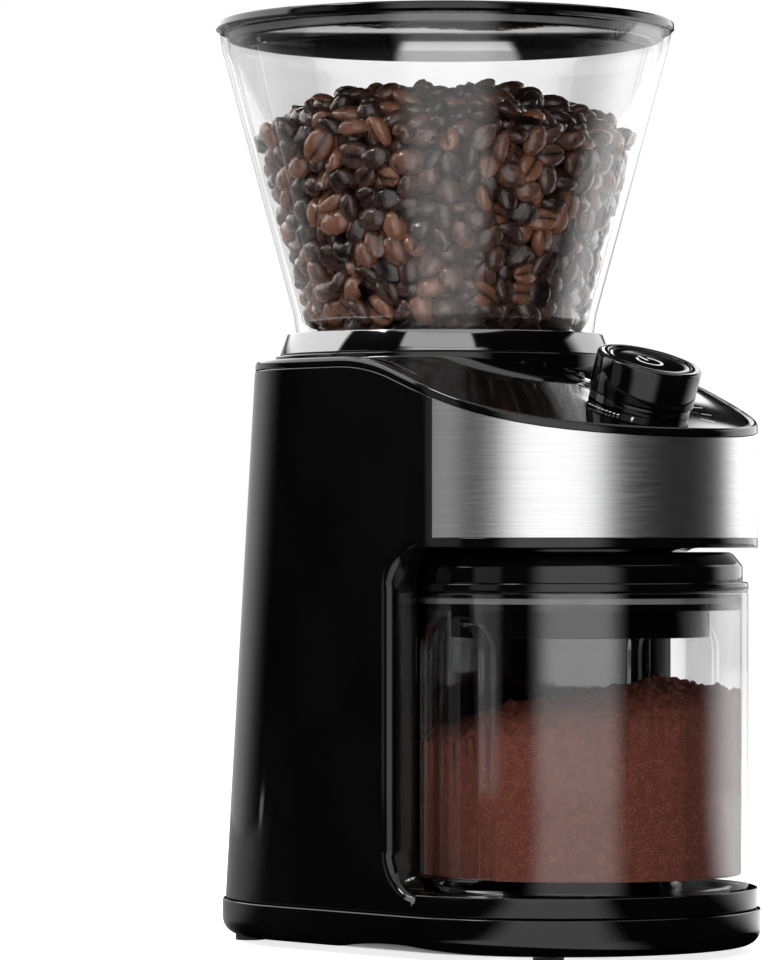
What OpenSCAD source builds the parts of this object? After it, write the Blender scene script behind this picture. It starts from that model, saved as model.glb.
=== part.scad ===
// Conical burr coffee grinder: bean hopper, turning grind collar, conical burrs driven by an
// upright motor through two gear stages, and a grounds container standing in a bay.
// The front faces -Y. Every module is drawn about the upright grinding axis, and on_axis()
// sets it down so that the origin is under the middle of the whole machine.

/* [Body] */
// Width across the flat sides of the housing
body_w = 118; // [115:1:122]
// Distance forward from the grinding axis to the centre of the rounded front
nose_reach = 50; // [48:1:53]
// Distance forward from the grinding axis to the centre of the rounded back
back_reach = 2.5; // [1:0.5:4]
// Lean of the back wall from upright, in degrees
back_lean = 5; // [3:0.5:6]
// Height of the housing's side edge at the back
rear_h = 172.3; // [171:0.1:173]
// Height of the housing's side edge at the front tip
front_h = 150.8; // [149.5:0.1:152]
// Distance forward at which the side edge starts to fall
fall_start = 18; // [15:1:21]
// Radius of the side edge's upper bend
fall_r = 72; // [66:1:78]
// Steepest slope of the side edge, in degrees
fall_slope = 19.3; // [18:0.1:20]
// Slope of the side edge at the front tip, in degrees
tip_slope = 5.7; // [5:0.1:7]
// Wall thickness of the mouldings
wall = 2.4; // [2:0.1:2.8]
// Height of the joint between base and housing
seam_h = 12.8; // [12:0.1:14]

/* [Bay] */
// Height of the deck that the container stands on
deck_h = 19; // [18:0.5:20]
// Height of the underside of the head
head_under = 119; // [118.5:0.5:120]
// Distance forward from the grinding axis to the front edge of the side cheeks
bay_edge = 40.4; // [38:0.2:43]
// Radius of the bay's corners, seen from the side
bay_corner_r = 12; // [9:1:15]
// Width of the bevel round the bay
bay_bevel = 3; // [2:0.5:4]

/* [Steel band] */
// Distance forward at which the band starts on each side
band_start = 59.2; // [57:0.2:62]
// Height of the band's lower edge
band_bottom = 122; // [121.6:0.2:124]
// Thickness of the steel
band_t = 0.6; // [0.5:0.1:0.8]

/* [Top cover] */
// Height of the flat top round the collar
cover_top = 175.2; // [174.8:0.1:175.6]
// Distance forward at which the sloping panel starts
panel_start = 43.5; // [42:0.5:45]
// Slope of the panel, in degrees
panel_slope = 19.5; // [19:0.1:20.5]
// Height of the bead round the cover's edge
bead_h = 2.8; // [2.4:0.1:3.2]
// Slope of the flank that rises from the bead, in degrees
flank_slope = 18.3; // [17:0.5:20]

/* [Base] */
// Radius of the base's rounded ends
base_r = 60; // [59.5:0.5:62]
// Height of the feet below the base
foot_h = 2; // [1.5:0.5:3]
// Diameter of a foot
foot_d = 9; // [8:0.5:11]
// Radius of the base's lower edge
base_edge_r = 5; // [3:0.5:6]

/* [Hopper and lid] */
// Height over the lid
total_h = 278; // [274:1:282]
// Reach of the lid's flange beyond the hopper's rim
lid_overhang = 0.8; // [0.4:0.1:1.2]
// Thickness of the lid's flange
lid_flange_t = 3; // [2:0.5:4]
// Depth of the lid's skirt below the hopper's rim
lid_skirt = 3; // [2.5:0.5:5]
// Step of the hopper's rim outward from the top of the cone
rim_step = 1.6; // [1.2:0.1:2]
// Height of the upright band below the rim
rim_band_h = 6.5; // [5:0.5:8]
// Radius of the hopper outside at the top of its cone
cone_top_r = 67; // [66:0.1:67.4]
// Radius of the hopper outside where it stands on the collar
hopper_foot_r = 45; // [44.6:0.1:46]
// Wall of the hopper
hopper_wall = 2; // [1.8:0.1:2.4]
// Radius of the throat that feeds the burrs
throat_r = 19; // [18:0.5:20]

/* [Grind collar] */
// Height of the collar's upper face
collar_top = 183.5; // [183:0.1:184]
// Radius of the collar at its foot
collar_r = 50; // [49.5:0.1:50.6]
// Radius of the collar at its upper face
collar_top_r = 47.7; // [47:0.1:48.4]
// Radius of the scale ring under the collar
scale_ring_r = 51.3; // [50.8:0.1:51.8]
// Turn of the collar from finest to coarsest, in degrees
grind_turn = 90; // [60:5:100]
// Lift of the ring burr over that turn
burr_lift = 1.5; // [1:0.1:1.6]

/* [Burrs] */
// Radius of the cone burr over its teeth at the bottom
cone_r = 19; // [18:0.5:19.5]
// Height of the cone burr
cone_h = 24; // [22:1:25]
// Outer radius of the ring burr
ring_burr_r = 24; // [23.5:0.5:24.5]
// Height of the ring burr
ring_burr_h = 14.7; // [13:0.1:15]
// Radial gap between the burrs at the finest setting
burr_gap = 0.35; // [0.3:0.05:0.6]
// Number of fine teeth on the cone burr
fine_teeth = 36; // [24:6:42]
// Number of crushing blades on the cone burr
cone_blades = 7; // [5:1:8]

/* [Gears] */
// Distance between the motor shaft and the grinding axis
motor_offset = 22; // [21:0.5:23]
// Module of the first stage
module_1 = 0.8; // [0.8:0.1:0.8]
// Teeth of the motor pinion
pinion_teeth = 12; // [12:1:13]
// Teeth of the idler's large wheel
wheel_teeth = 40; // [39:1:41]
// Module of the second stage
module_2 = 1; // [1:0.1:1]
// Teeth of the idler's small pinion
idler_teeth = 12; // [12:1:13]
// Teeth of the gear on the burr shaft
drive_teeth = 36; // [35:1:37]
// Free play between teeth
backlash = 0.25; // [0.2:0.05:0.3]
// Radius of the burr shaft
burr_shaft_r = 4; // [3.5:0.5:4.5]

/* [Motor] */
// Radius of the motor can
motor_r = 24; // [22:1:25]
// Length of the motor can
motor_len = 80; // [70:1:86]
// Radius of the motor shaft
motor_shaft_r = 2.5; // [2:0.1:2.5]

/* [Grounds container] */
// Radius of the container
can_r = 49.5; // [48:0.5:50]
// Distance forward from the grinding axis to the container's axis
can_reach = 59.5; // [58.5:0.5:60.5]
// Height of the container's rim
can_rim_h = 106; // [105:0.5:107]
// Wall of the container
can_wall = 2; // [1.6:0.1:2.4]
// Thickness of the container's floor
can_floor = 4; // [3:0.5:5]
// Width of a grip recess
grip_w = 29; // [26:1:32]
// Depth of a grip recess
grip_depth = 2.4; // [1.5:0.1:3]
// Height of the top of a grip recess
grip_top_h = 97; // [92:1:98]
// Radius of a grip recess's upper corners
grip_corner_r = 9; // [6:1:12]
// Direction of the grip recesses from straight ahead, in degrees
grip_turn = 97; // [94:1:100]
// Gap between the container and the bay's round wall
bay_gap = 1.6; // [1.4:0.1:2]

/* [Knob] */
// Distance forward from the grinding axis to the knob
knob_reach = 84.4; // [83:0.2:86]
// Radius of the knob
knob_r = 15.5; // [15:0.1:16.5]
// Height of the knob
knob_h = 11.3; // [10:0.1:12]
// Height of the plinth under the knob
plinth_h = 2.3; // [1.8:0.1:3]
// Radius of the power button
button_r = 12; // [11:0.1:12.6]
// Travel of the power button
button_travel = 1.2; // [0.8:0.1:1.4]

/* [Clearances] */
// Gap between pieces that turn or slide past each other
slack = 0.3; // [0.25:0.05:0.35]
// Radial clearance of a shaft in its bush
fit = 0.05; // [0.03:0.01:0.08]

/* [Hidden] */

$fn = 96;
gloss_black = [0.03, 0.03, 0.035];
dark_plastic = [0.12, 0.12, 0.13];
clear_plastic = [0.85, 0.88, 0.9, 0.35];
steel = [0.75, 0.75, 0.76];
brass = [0.8, 0.65, 0.3];
circuit_green = [0.1, 0.35, 0.2];
nylon_white = [0.9, 0.9, 0.85];
rubber_grey = [0.25, 0.25, 0.25];

half_w = body_w / 2;
tip_reach = nose_reach + half_w;
lean_shift = (rear_h - seam_h) * tan(back_lean);
base_back = lean_shift - back_reach;
// The back leans about a line just above the cover
lean_top = cover_top + 4;
lean_reach = back_reach + (lean_top - rear_h) * tan(back_lean);
// The back's curve is a little fuller than half the width, so it meets the sides at a clean edge
back_fullness = 0.05;
// The origin lies halfway between the base's front and back tips
axis_y = (nose_reach + base_r - (base_back + base_r)) / 2;

// The side edge: level, a bend down, a straight fall, then a long bend up to the front tip
bend_end = [fall_start + fall_r * sin(fall_slope), rear_h - fall_r * (1 - cos(fall_slope))];
tip_rise = tan((fall_slope + tip_slope) / 2);
sweep_start = (bend_end.y + tan(fall_slope) * bend_end.x - front_h - tip_rise * tip_reach)
    / (tan(fall_slope) - tip_rise);
sweep_r = (tip_reach - sweep_start) / (sin(fall_slope) - sin(tip_slope));
bend_steps = 10;

roof_top = head_under + wall;
plate_t = 3;
plate_top = roof_top + plate_t;
gear_1_low = plate_top + 0.6;
gear_1_t = 6;
gear_2_low = gear_1_low + gear_1_t + 0.8;
gear_2_t = 7;
case_top = gear_2_low + gear_2_t + 2.6;
case_wall = 2;
chamber_floor = case_top + 2;
sweeper_low = chamber_floor + 0.6;
sweeper_t = 3.6;
burr_low = sweeper_low + sweeper_t + 0.4;
chamber_r = ring_burr_r + 2;
chamber_wall = 2.5;
chamber_top = burr_low + 5;
flange_r = 38;
carrier_foot_r = 33.5;
seat_bottom = cover_top - 8.2;
seat_top = seat_bottom + 4;
seat_r = 53.6;
sleeve_r = collar_r - 4.3;
sleeve_bore = sleeve_r - 2.4;
collar_low = seat_top + 6;
lug_w = 8;
carrier_top = seat_bottom - 1;
carrier_low = chamber_top + 4;

cone_tip_r = 7;
grind_zone_h = 6;
grind_zone_rise = 2.2;
tooth_depth = 0.9;

first_reach = module_1 * (pinion_teeth + wheel_teeth) / 2;
second_reach = module_2 * (idler_teeth + drive_teeth) / 2;
idler_y = (second_reach ^ 2 - first_reach ^ 2 + motor_offset ^ 2) / (2 * motor_offset);
idler_x = sqrt(second_reach ^ 2 - idler_y ^ 2);
idler_from_motor = atan2(idler_y - motor_offset, idler_x);
drive_from_idler = atan2(-idler_y, -idler_x);
idler_pin_r = 2;

can_low = deck_h + 0.2;
bay_r = can_r + bay_gap;
chute_slope = 34;
spout_r = 13;

panel_origin_z = cover_top - tan(panel_slope) * (knob_reach - panel_start);
rim_r = cone_top_r + rim_step;
lid_r = rim_r + lid_overhang;
lid_low = total_h - lid_flange_t - lid_skirt;
rim_z = total_h - lid_flange_t;

// Distance forward of the leaning back's centre line at a height
function lean_axis(z) = lean_reach - (lean_top - z) * tan(back_lean);

// Height of the housing's side edge at a distance forward of the grinding axis
function edge_z(f) =
    f <= fall_start ? rear_h
    : f <= bend_end.x ? rear_h - fall_r + sqrt(fall_r ^ 2 - (f - fall_start) ^ 2)
    : f <= sweep_start ? bend_end.y - tan(fall_slope) * (f - bend_end.x)
    : front_h + sweep_r * cos(tip_slope)
        - sqrt(sweep_r ^ 2 - (tip_reach + sweep_r * sin(tip_slope) - f) ^ 2);

// Reach values at which the side edge is drawn
edge_stations = concat(
    [-90, fall_start],
    [for (i = [1:bend_steps]) fall_start + fall_r * sin(fall_slope * i / bend_steps)],
    [for (i = [0:bend_steps]) sweep_start + (tip_reach - sweep_start) * i / bend_steps]
);

module on_axis() {
    translate([0, axis_y, 0]) children();
}

// Extrudes a side view, drawn as distance forward by height, across the body
module across(half_width) {
    rotate([90, 0, -90]) translate([0, 0, -half_width]) linear_extrude(2 * half_width) children();
}

// Side view of everything under the side edge, raised by lift, down to a level
module under_edge(lift, bottom) {
    polygon(concat(
        [[-90, bottom]],
        [for (f = edge_stations) [f, edge_z(f) + lift]],
        [[tip_reach + 20, edge_z(tip_reach) + lift - 20 * tan(tip_slope)], [tip_reach + 20, bottom]]
    ));
}

// Side view of everything under the flat top and the sloping panel
module under_panel(lift, bottom) {
    polygon([
        [-90, bottom], [-90, cover_top + lift], [panel_start, cover_top + lift],
        [130, cover_top + lift - tan(panel_slope) * (130 - panel_start)], [130, bottom]
    ]);
}

module half_disc(r, side) {
    intersection() {
        circle(r = r);
        translate([-r, side > 0 ? 0 : -r]) square([2 * r, r]);
    }
}

// The body's outline, upright in front and leaning at the back, between two heights
module body_block(inset, low, high) {
    r = half_w - inset;
    translate([0, -nose_reach, low]) linear_extrude(high - low) {
        half_disc(r, -1);
        translate([-r, 0]) square([2 * r, 20]);
    }
    across(r) polygon([
        [nose_reach - 10, low], [nose_reach - 10, high],
        [lean_axis(high), high], [lean_axis(low), low]
    ]);
    intersection() {
        translate([0, -lean_reach, lean_top]) rotate([back_lean, 0, 0])
            translate([0, 0, -lean_top - 20]) cylinder(r = r + back_fullness, h = lean_top + 60);
        translate([-body_w, -body_w, low]) cube([2 * body_w, 3 * body_w, high - low]);
    }
}

// The space for the container: open to the front and sides, round at the back
module bay_space(grow) {
    low = deck_h - grow;
    high = head_under + grow;
    r = bay_corner_r + grow;
    edge = bay_edge - grow;
    across(body_w) {
        translate([edge + r, low]) square([130 - edge - r, high - low]);
        translate([edge, low + r]) square([r, high - low - 2 * r]);
        for (z = [low + r, high - r])
            translate([edge + r, z]) intersection() {
                circle(r = r);
                translate([-r, z < high / 2 ? -r : 0]) square(r);
            }
    }
    translate([0, -can_reach, low]) cylinder(r = bay_r + grow, h = high - low);
}

// Bevel on the outer edge of the cheeks, straight up the edge and round both corners
module bay_bevel_cut() {
    over = 0.5;
    b = bay_bevel;
    for (side = [0, 1]) mirror([side, 0, 0]) {
        translate([0, 0, deck_h + bay_corner_r])
            linear_extrude(head_under - deck_h - 2 * bay_corner_r)
                polygon([
                    [half_w + over, -bay_edge + b + over], [half_w + over, -bay_edge - over],
                    [half_w - b - over, -bay_edge - over]
                ]);
        for (end = [-1, 1])
            translate([
                0, -bay_edge - bay_corner_r,
                end < 0 ? deck_h + bay_corner_r : head_under - bay_corner_r
            ])
                rotate([0, 90, 0]) rotate([0, 0, end < 0 ? 0 : 90])
                    rotate_extrude(angle = 90) polygon([
                        [bay_corner_r + b + over, half_w + over],
                        [bay_corner_r - over, half_w + over],
                        [bay_corner_r - over, half_w - b - over]
                    ]);
    }
}

// Feet, base and the screws that hold the base to the housing

foot_places = [[-40, 44], [40, 44], [-32, -80], [32, -80]];
base_screw_places = [[-44, 20], [44, 20], [-36, -64], [36, -64]];
screw_r = 1.5;
screw_head_r = 3;
screw_head_t = 1.8;
screw_tower_r = 4;

// Revolves a half profile at both ends and runs it straight between them
module round_ended(front, back) {
    translate([0, back, 0]) rotate_extrude(angle = 180) children();
    translate([0, front, 0]) rotate([0, 0, 180]) rotate_extrude(angle = 180) children();
    translate([0, back, 0]) rotate([90, 0, 0]) linear_extrude(back - front) {
        children();
        mirror([1, 0]) children();
    }
}

module base_profile(inset, top) {
    r = base_r - inset;
    low = foot_h + inset;
    e = base_edge_r - inset / 2;
    translate([0, low]) square([r - e, top - low]);
    translate([0, low + e]) square([r, top - low - e]);
    translate([r - e, low + e]) intersection() {
        circle(r = e);
        translate([0, -e]) square(e);
    }
}

module feet() {
    color(rubber_grey) for (p = foot_places) translate([p.x, p.y, 0]) {
        cylinder(d = foot_d, h = foot_h);
        cylinder(d = foot_d - 3, h = foot_h + wall + 1);
    }
}

module base_cover() {
    vent_w = 2.5;
    vent_pitch = 6;
    color(gloss_black) difference() {
        union() {
            difference() {
                round_ended(-nose_reach, base_back) base_profile(0, seam_h);
                round_ended(-nose_reach, base_back) base_profile(wall, seam_h + 1);
            }
            for (p = base_screw_places)
                translate([p.x, p.y, foot_h + 0.5]) cylinder(r = screw_tower_r, h = 5);
        }
        for (p = foot_places)
            translate([p.x, p.y, foot_h - 1]) cylinder(d = foot_d - 3, h = wall + 2);
        for (p = base_screw_places) translate([p.x, p.y, 0]) {
            translate([0, 0, foot_h - 1]) cylinder(r = screw_r + fit, h = 10);
            translate([0, 0, foot_h - 1]) cylinder(r = screw_head_r + slack, h = screw_head_t + 1.8);
        }
        // Air slots under the motor
        for (i = [-3:3])
            translate([i * vent_pitch - vent_w / 2, motor_offset - 16, foot_h - 1])
                cube([vent_w, 32, wall + 2]);
    }
}

module base_screws() {
    color(steel) for (p = base_screw_places) translate([p.x, p.y, foot_h + 0.8]) {
        cylinder(r = screw_head_r, h = screw_head_t);
        cylinder(r = screw_r, h = 12);
    }
}

// The housing: column, head, side cheeks, deck, and the towers that carry what is inside

tower_x = 41;
tower_y = 24;
tower_r = 4.5;
tower_h = 22;
cover_screw_places = [[-26, -63], [26, -63], [-40, -38], [40, -38]];
board_x = 43;
board_low = 40;
board_h = 56;
board_w = 38;
switch_z = 60;
switch_turn = 30;
switch_body = [20, 6.4, 10];
inlet_z = 30;
inlet_bore_r = 3.4;
inlet_body_r = 5;

// Places children on the leaning back wall at a height, with +Z pointing straight out of it
module on_back(h) {
    translate([0, -lean_reach, lean_top]) rotate([back_lean, 0, 0])
        translate([0, half_w + back_fullness, -(lean_top - h) / cos(back_lean)]) rotate([-90, 0, 0])
            children();
}

// A ring that follows the front of the body between two insets, from the band's ends forward
module band_zone(outer_inset, inner_inset, low, high) {
    translate([0, 0, low]) linear_extrude(high - low) intersection() {
        difference() {
            translate([0, -nose_reach]) circle(r = half_w - outer_inset);
            translate([0, -nose_reach]) circle(r = half_w - inner_inset);
        }
        translate([-body_w, -2 * body_w - band_start]) square([2 * body_w, 2 * body_w]);
    }
}

module housing_shell() {
    difference() {
        intersection() {
            body_block(0, seam_h + slack, rear_h);
            across(body_w) under_edge(0, 0);
        }
        difference() {
            body_block(wall, 0, rear_h + 20);
            bay_space(wall);
        }
        bay_space(0);
        bay_bevel_cut();
        band_zone(-1, band_t + fit, band_bottom, rear_h);
    }
}

module housing_towers() {
    intersection() {
        union() {
            for (side = [-1, 1]) {
                // Towers under the gearbox plate
                translate([side * tower_x, tower_y, roof_top - tower_h])
                    cylinder(r = tower_r, h = tower_h);
                translate([side > 0 ? tower_x : -tower_x - 20, tower_y - 1.5, roof_top - tower_h])
                    cube([20, 3, tower_h]);
                // Towers for the back pair of base screws
                translate([side * 44, 20, foot_h + 5.5]) cylinder(r = screw_tower_r, h = 24);
                translate([side > 0 ? 44 : -64, 18.8, seam_h + 2]) cube([20, 2.4, 16]);
                // Towers for the front pair, under the deck
                translate([side * 36, -64, foot_h + 5.5])
                    cylinder(r = screw_tower_r, h = deck_h - wall - foot_h - 5);
            }
            // Ribs that the driver board stands against
            for (y = [2, 30])
                translate([-body_w / 2, y, board_low]) cube([half_w - board_x, 2.4, board_h]);
        }
        body_block(wall - 0.4, 0, rear_h);
    }
}

module main_housing() {
    color(gloss_black) difference() {
        union() {
            housing_shell();
            housing_towers();
        }
        // Opening for the chute's spout
        translate([0, -can_reach, head_under - 1]) cylinder(r = spout_r + fit, h = wall + 2);
        // Slot for the container switch
        at_switch() translate([-2.5, bay_r - 1, switch_z - 2.5]) cube([5, wall + 2.5, 5]);
        on_back(inlet_z) translate([0, 0, -wall - 3]) cylinder(r = inlet_body_r + fit, h = wall + 6);
        for (p = base_screw_places)
            translate([p.x, p.y, foot_h]) cylinder(r = screw_r + fit, h = 13.5);
        for (p = cover_screw_places) translate([p.x, p.y, head_under - 1]) {
            cylinder(r = screw_r + fit, h = wall + 2);
            cylinder(r = screw_head_r + slack, h = 1 + screw_head_t - 0.6);
        }
        for (side = [-1, 1])
            translate([side * tower_x, tower_y, roof_top - 14]) cylinder(r = screw_r + fit, h = 15);
    }
}

module steel_band() {
    color(steel) intersection() {
        band_zone(0, band_t, band_bottom, rear_h);
        across(body_w) under_edge(0, band_bottom);
    }
}

// The cover: a skin whose edge follows the side edge, with a bead, rising flanks,
// a flat top round the collar and a sloping panel in front

arc_step = 7.5;
flank_reach = 24;
bead_w = 2.5;
// Each station is a point of the outline and the direction straight in from it
tent_stations = concat(
    [for (a = [180:arc_step:360]) [[half_w * cos(a), half_w * sin(a) - nose_reach], [-cos(a), -sin(a)]]],
    [for (f = [44:-7:9]) [[half_w, -f], [-1, 0]]],
    [for (a = [0:arc_step:180]) [[half_w * cos(a), half_w * sin(a) - back_reach], [-cos(a), -sin(a)]]],
    [for (f = [9:7:44]) [[-half_w, -f], [1, 0]]]
);
// Each loop is a distance in from the outline and a height above the side edge
tent_loops = [
    [0, 0], [0, bead_h * 0.55], [0.3, bead_h * 0.83], [0.9, bead_h], [bead_w, bead_h],
    [flank_reach, bead_h + (flank_reach - bead_w) * tan(flank_slope)]
];
tent_low = 130;
tent_high = 200;

module cover_tent() {
    n = len(tent_stations);
    last = len(tent_loops);
    top = last + 1;
    low_ring = [for (s = tent_stations) [s[0].x, s[0].y, tent_low]];
    rings = [for (l = tent_loops, s = tent_stations) [
        s[0].x + l[0] * s[1].x, s[0].y + l[0] * s[1].y, edge_z(-s[0].y) + l[1]
    ]];
    high_ring = [for (s = tent_stations) [
        s[0].x + flank_reach * s[1].x, s[0].y + flank_reach * s[1].y, tent_high
    ]];
    centres = [[0, -nose_reach / 2, tent_low], [0, -nose_reach / 2, tent_high]];
    low_centre = (top + 1) * n;
    polyhedron(
        points = concat(low_ring, rings, high_ring, centres),
        faces = [for (i = [0:n - 1]) let (j = (i + 1) % n) each concat(
            [[low_centre, i, j], [low_centre + 1, top * n + j, top * n + i]],
            [for (k = [0:last]) each [
                [k * n + i, k * n + n + i, k * n + n + j], [k * n + i, k * n + n + j, k * n + j]
            ]]
        )]
    );
}

// Places children on the sloping panel at the knob, with +Z square to the panel
module on_panel() {
    translate([0, -knob_reach, panel_origin_z]) rotate([panel_slope, 0, 0]) children();
}

switch_neck_r = 4.4;
board_depth = 13;
board_size = [44, 30, 1.6];
board_post = [18, 11.5];
board_post_r = 2.4;

module top_cover() {
    lip_t = 1.6;
    color(gloss_black) difference() {
        union() {
            difference() {
                union() {
                    difference() {
                        cover_tent();
                        across(body_w) under_edge(slack, 0);
                        intersection() {
                            body_block(bead_w - 0.3, tent_low, tent_high + 10);
                            across(body_w) difference() {
                                translate([-90, tent_low]) square([250, tent_high - tent_low + 10]);
                                under_panel(0, 0);
                            }
                        }
                    }
                    // Lip that locates the cover inside the housing
                    intersection() {
                        body_block(wall + slack, tent_low, rear_h + 10);
                        across(body_w) difference() {
                            under_edge(slack + 0.5, 0);
                            under_edge(-3, -10);
                        }
                    }
                }
                // Hollow under the skin
                intersection() {
                    translate([0, 0, -wall]) cover_tent();
                    body_block(wall + slack + lip_t, tent_low - 5, rear_h + 11);
                    across(body_w) under_panel(-wall, 0);
                }
            }
            // Seat of the scale ring and collar
            intersection() {
                translate([0, 0, seat_bottom]) cylinder(r = seat_r, h = cover_top - seat_bottom - 1);
                across(body_w) under_panel(-1, 0);
            }
            // Pillars down to the head's floor
            intersection() {
                for (p = cover_screw_places)
                    translate([p.x, p.y, roof_top]) cylinder(r = screw_tower_r, h = 60);
                across(body_w) under_panel(-1, 0);
            }
            on_panel() for (x = [-1, 1], y = [-1, 1])
                translate([x * board_post.x, y * board_post.y, -board_depth])
                    cylinder(r = board_post_r, h = board_depth - 1.5);
        }
        translate([0, 0, seat_bottom - 1]) cylinder(r = sleeve_r + slack, h = 40);
        translate([0, 0, seat_top]) cylinder(r = scale_ring_r + fit, h = 40);
        on_panel() translate([0, 0, -20]) cylinder(r = switch_neck_r + slack, h = 40);
        for (p = cover_screw_places)
            translate([p.x, p.y, roof_top - 1]) cylinder(r = screw_r + fit, h = 12);
    }
}

module cover_screws() {
    color(steel) for (p = cover_screw_places) translate([p.x, p.y, head_under + 0.2]) {
        cylinder(r = screw_head_r, h = 1);
        cylinder(r = screw_r, h = 12);
    }
}

module scale_ring() {
    color(gloss_black) difference() {
        translate([0, 0, seat_top]) cylinder(r = scale_ring_r, h = collar_low - seat_top - slack);
        translate([0, 0, seat_top - 1]) cylinder(r = sleeve_r + slack, h = 20);
    }
}

// The grind collar and the sleeve under it turn together with the hopper

lug_turns = [30, 150, 270];
key_turns = [90, 210, 330];
lug_reach = 1.8;
lug_low = seat_bottom + 2.5;
lug_h = 5;
collar_lip = 2;
sleeve_low = carrier_low + 1;
key_w = 5.6;
key_h = 6;

module lug_slots(low) {
    w = lug_w + 2 * slack;
    for (a = lug_turns) rotate([0, 0, a])
        translate([sleeve_bore - 2, -w / 2, low]) cube([2 + lug_reach + slack, w, 40]);
}

module grind_collar() {
    color(gloss_black) difference() {
        translate([0, 0, collar_low])
            cylinder(r1 = collar_r, r2 = collar_top_r, h = collar_top - collar_low);
        translate([0, 0, collar_low - 1])
            cylinder(r = sleeve_r + fit, h = collar_top - collar_low + 1 - collar_lip);
        translate([0, 0, collar_low]) cylinder(r = sleeve_bore, h = 20);
        lug_slots(collar_low);
    }
}

module adjust_sleeve() {
    lip_t = 1.6;
    color(dark_plastic) difference() {
        union() {
            translate([0, 0, sleeve_low]) cylinder(r = sleeve_r, h = collar_top - collar_lip - sleeve_low);
            translate([0, 0, seat_bottom - slack - lip_t]) cylinder(r = sleeve_r + 2.3, h = lip_t);
        }
        translate([0, 0, sleeve_low - 1]) cylinder(r = sleeve_bore, h = 40);
        lug_slots(lug_low - slack);
        for (a = key_turns) rotate([0, 0, a])
            translate([sleeve_bore - 2, -key_w / 2 - slack, sleeve_low - 1])
                cube([8, key_w + 2 * slack, carrier_low + key_h + burr_lift + 2 - sleeve_low]);
    }
}

// The hopper: a clear cone with a band at its rim, a funnel floor and a lugged spigot

spigot_r = sleeve_bore - slack;
funnel_low = seat_bottom + 7;

module bean_hopper() {
    t = hopper_wall;
    band_low = rim_z - rim_band_h;
    cone_top = band_low - 0.7;
    foot_top = collar_top + 6;
    cone_foot_r = hopper_foot_r + 0.8;
    color(clear_plastic) {
        rotate_extrude() polygon([
            [spigot_r, seat_bottom + 1], [spigot_r, collar_top], [hopper_foot_r, collar_top],
            [cone_foot_r, foot_top], [cone_top_r, cone_top], [cone_top_r + 0.4, band_low],
            [rim_r, rim_z], [rim_r - t, rim_z], [cone_top_r + 0.4 - t, band_low],
            [cone_top_r - t, cone_top], [cone_foot_r - t - 0.1, foot_top],
            [cone_foot_r - t - 0.4, foot_top - 2], [throat_r, funnel_low],
            [throat_r, seat_bottom + 1], [throat_r + t, seat_bottom + 1],
            [throat_r + t, funnel_low - 1.1], [spigot_r - t, collar_top - 1.5],
            [spigot_r - t, seat_bottom + 1]
        ]);
        for (a = lug_turns) rotate([0, 0, a]) translate([spigot_r - 1, -lug_w / 2, lug_low])
            cube([1 + slack + lug_reach - slack, lug_w, lug_h]);
    }
}

seal_r = rim_r - hopper_wall - 0.9;
lid_skirt_r = seal_r - 2.8;
lid_plate_t = 2.2;
seal_low = lid_low + 0.6;
seal_t = 1.8;

module hopper_lid() {
    dish_r = lid_skirt_r - 4;
    bar_reach = dish_r * 0.41;
    groove_r = lid_skirt_r - 1.2;
    color(gloss_black) difference() {
        union() {
            rotate_extrude() polygon([
                [0, lid_low], [lid_skirt_r, lid_low], [lid_skirt_r, rim_z], [lid_r - 0.8, rim_z],
                [lid_r, rim_z + 0.8], [lid_r, total_h - 1.2], [lid_r - 1.2, total_h],
                [dish_r + 2, total_h], [dish_r, lid_low + lid_plate_t], [0, lid_low + lid_plate_t]
            ]);
            // Finger bar across the dish
            translate([-bar_reach, -3.5, lid_low + 1]) cube([2 * bar_reach, 7, total_h - lid_low - 1.3]);
            for (x = [-bar_reach, bar_reach]) translate([x, 0, lid_low + 1]) cylinder(r = 3.5, h = total_h - lid_low - 1.3);
        }
        rotate_extrude() translate([groove_r, seal_low - fit]) square([10, seal_t + 2 * fit]);
    }
}

module lid_seal() {
    color(rubber_grey) rotate_extrude() translate([lid_skirt_r - 1.2 + fit, seal_low])
        square([seal_r - lid_skirt_r + 1.2 - fit - 0.2, seal_t]);
}

// Burrs. The ring burr hangs in the carrier, whose feet climb fixed ramps as the collar turns

mouth_r = 19.8;
skirt_r = chamber_r - slack;
ring_low = burr_low + 0.3;
foot_turns = [20, 140, 260];
carrier_foot = 2.2;
burr_screw_r = 1.2;
burr_screw_head_r = 1.7;
burr_screw_reach = 22.3;

// Star outline whose points alternate between a tip and a valley radius
function star(n, tip, valley) =
    [for (i = [0:n - 1], k = [0, 1]) let (a = 360 * (i + k / 2) / n, r = k == 0 ? tip : valley)
        [r * cos(a), r * sin(a)]];

// Saw-tooth outline: each blade rises slowly and drops back steeply
function blades(n, tip, valley) =
    [for (i = [0:n - 1], k = [0:4]) let (a = 360 * (i + k / 5.5) / n, r = valley + (tip - valley) * k / 4)
        [r * cos(a), r * sin(a)]];

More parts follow.
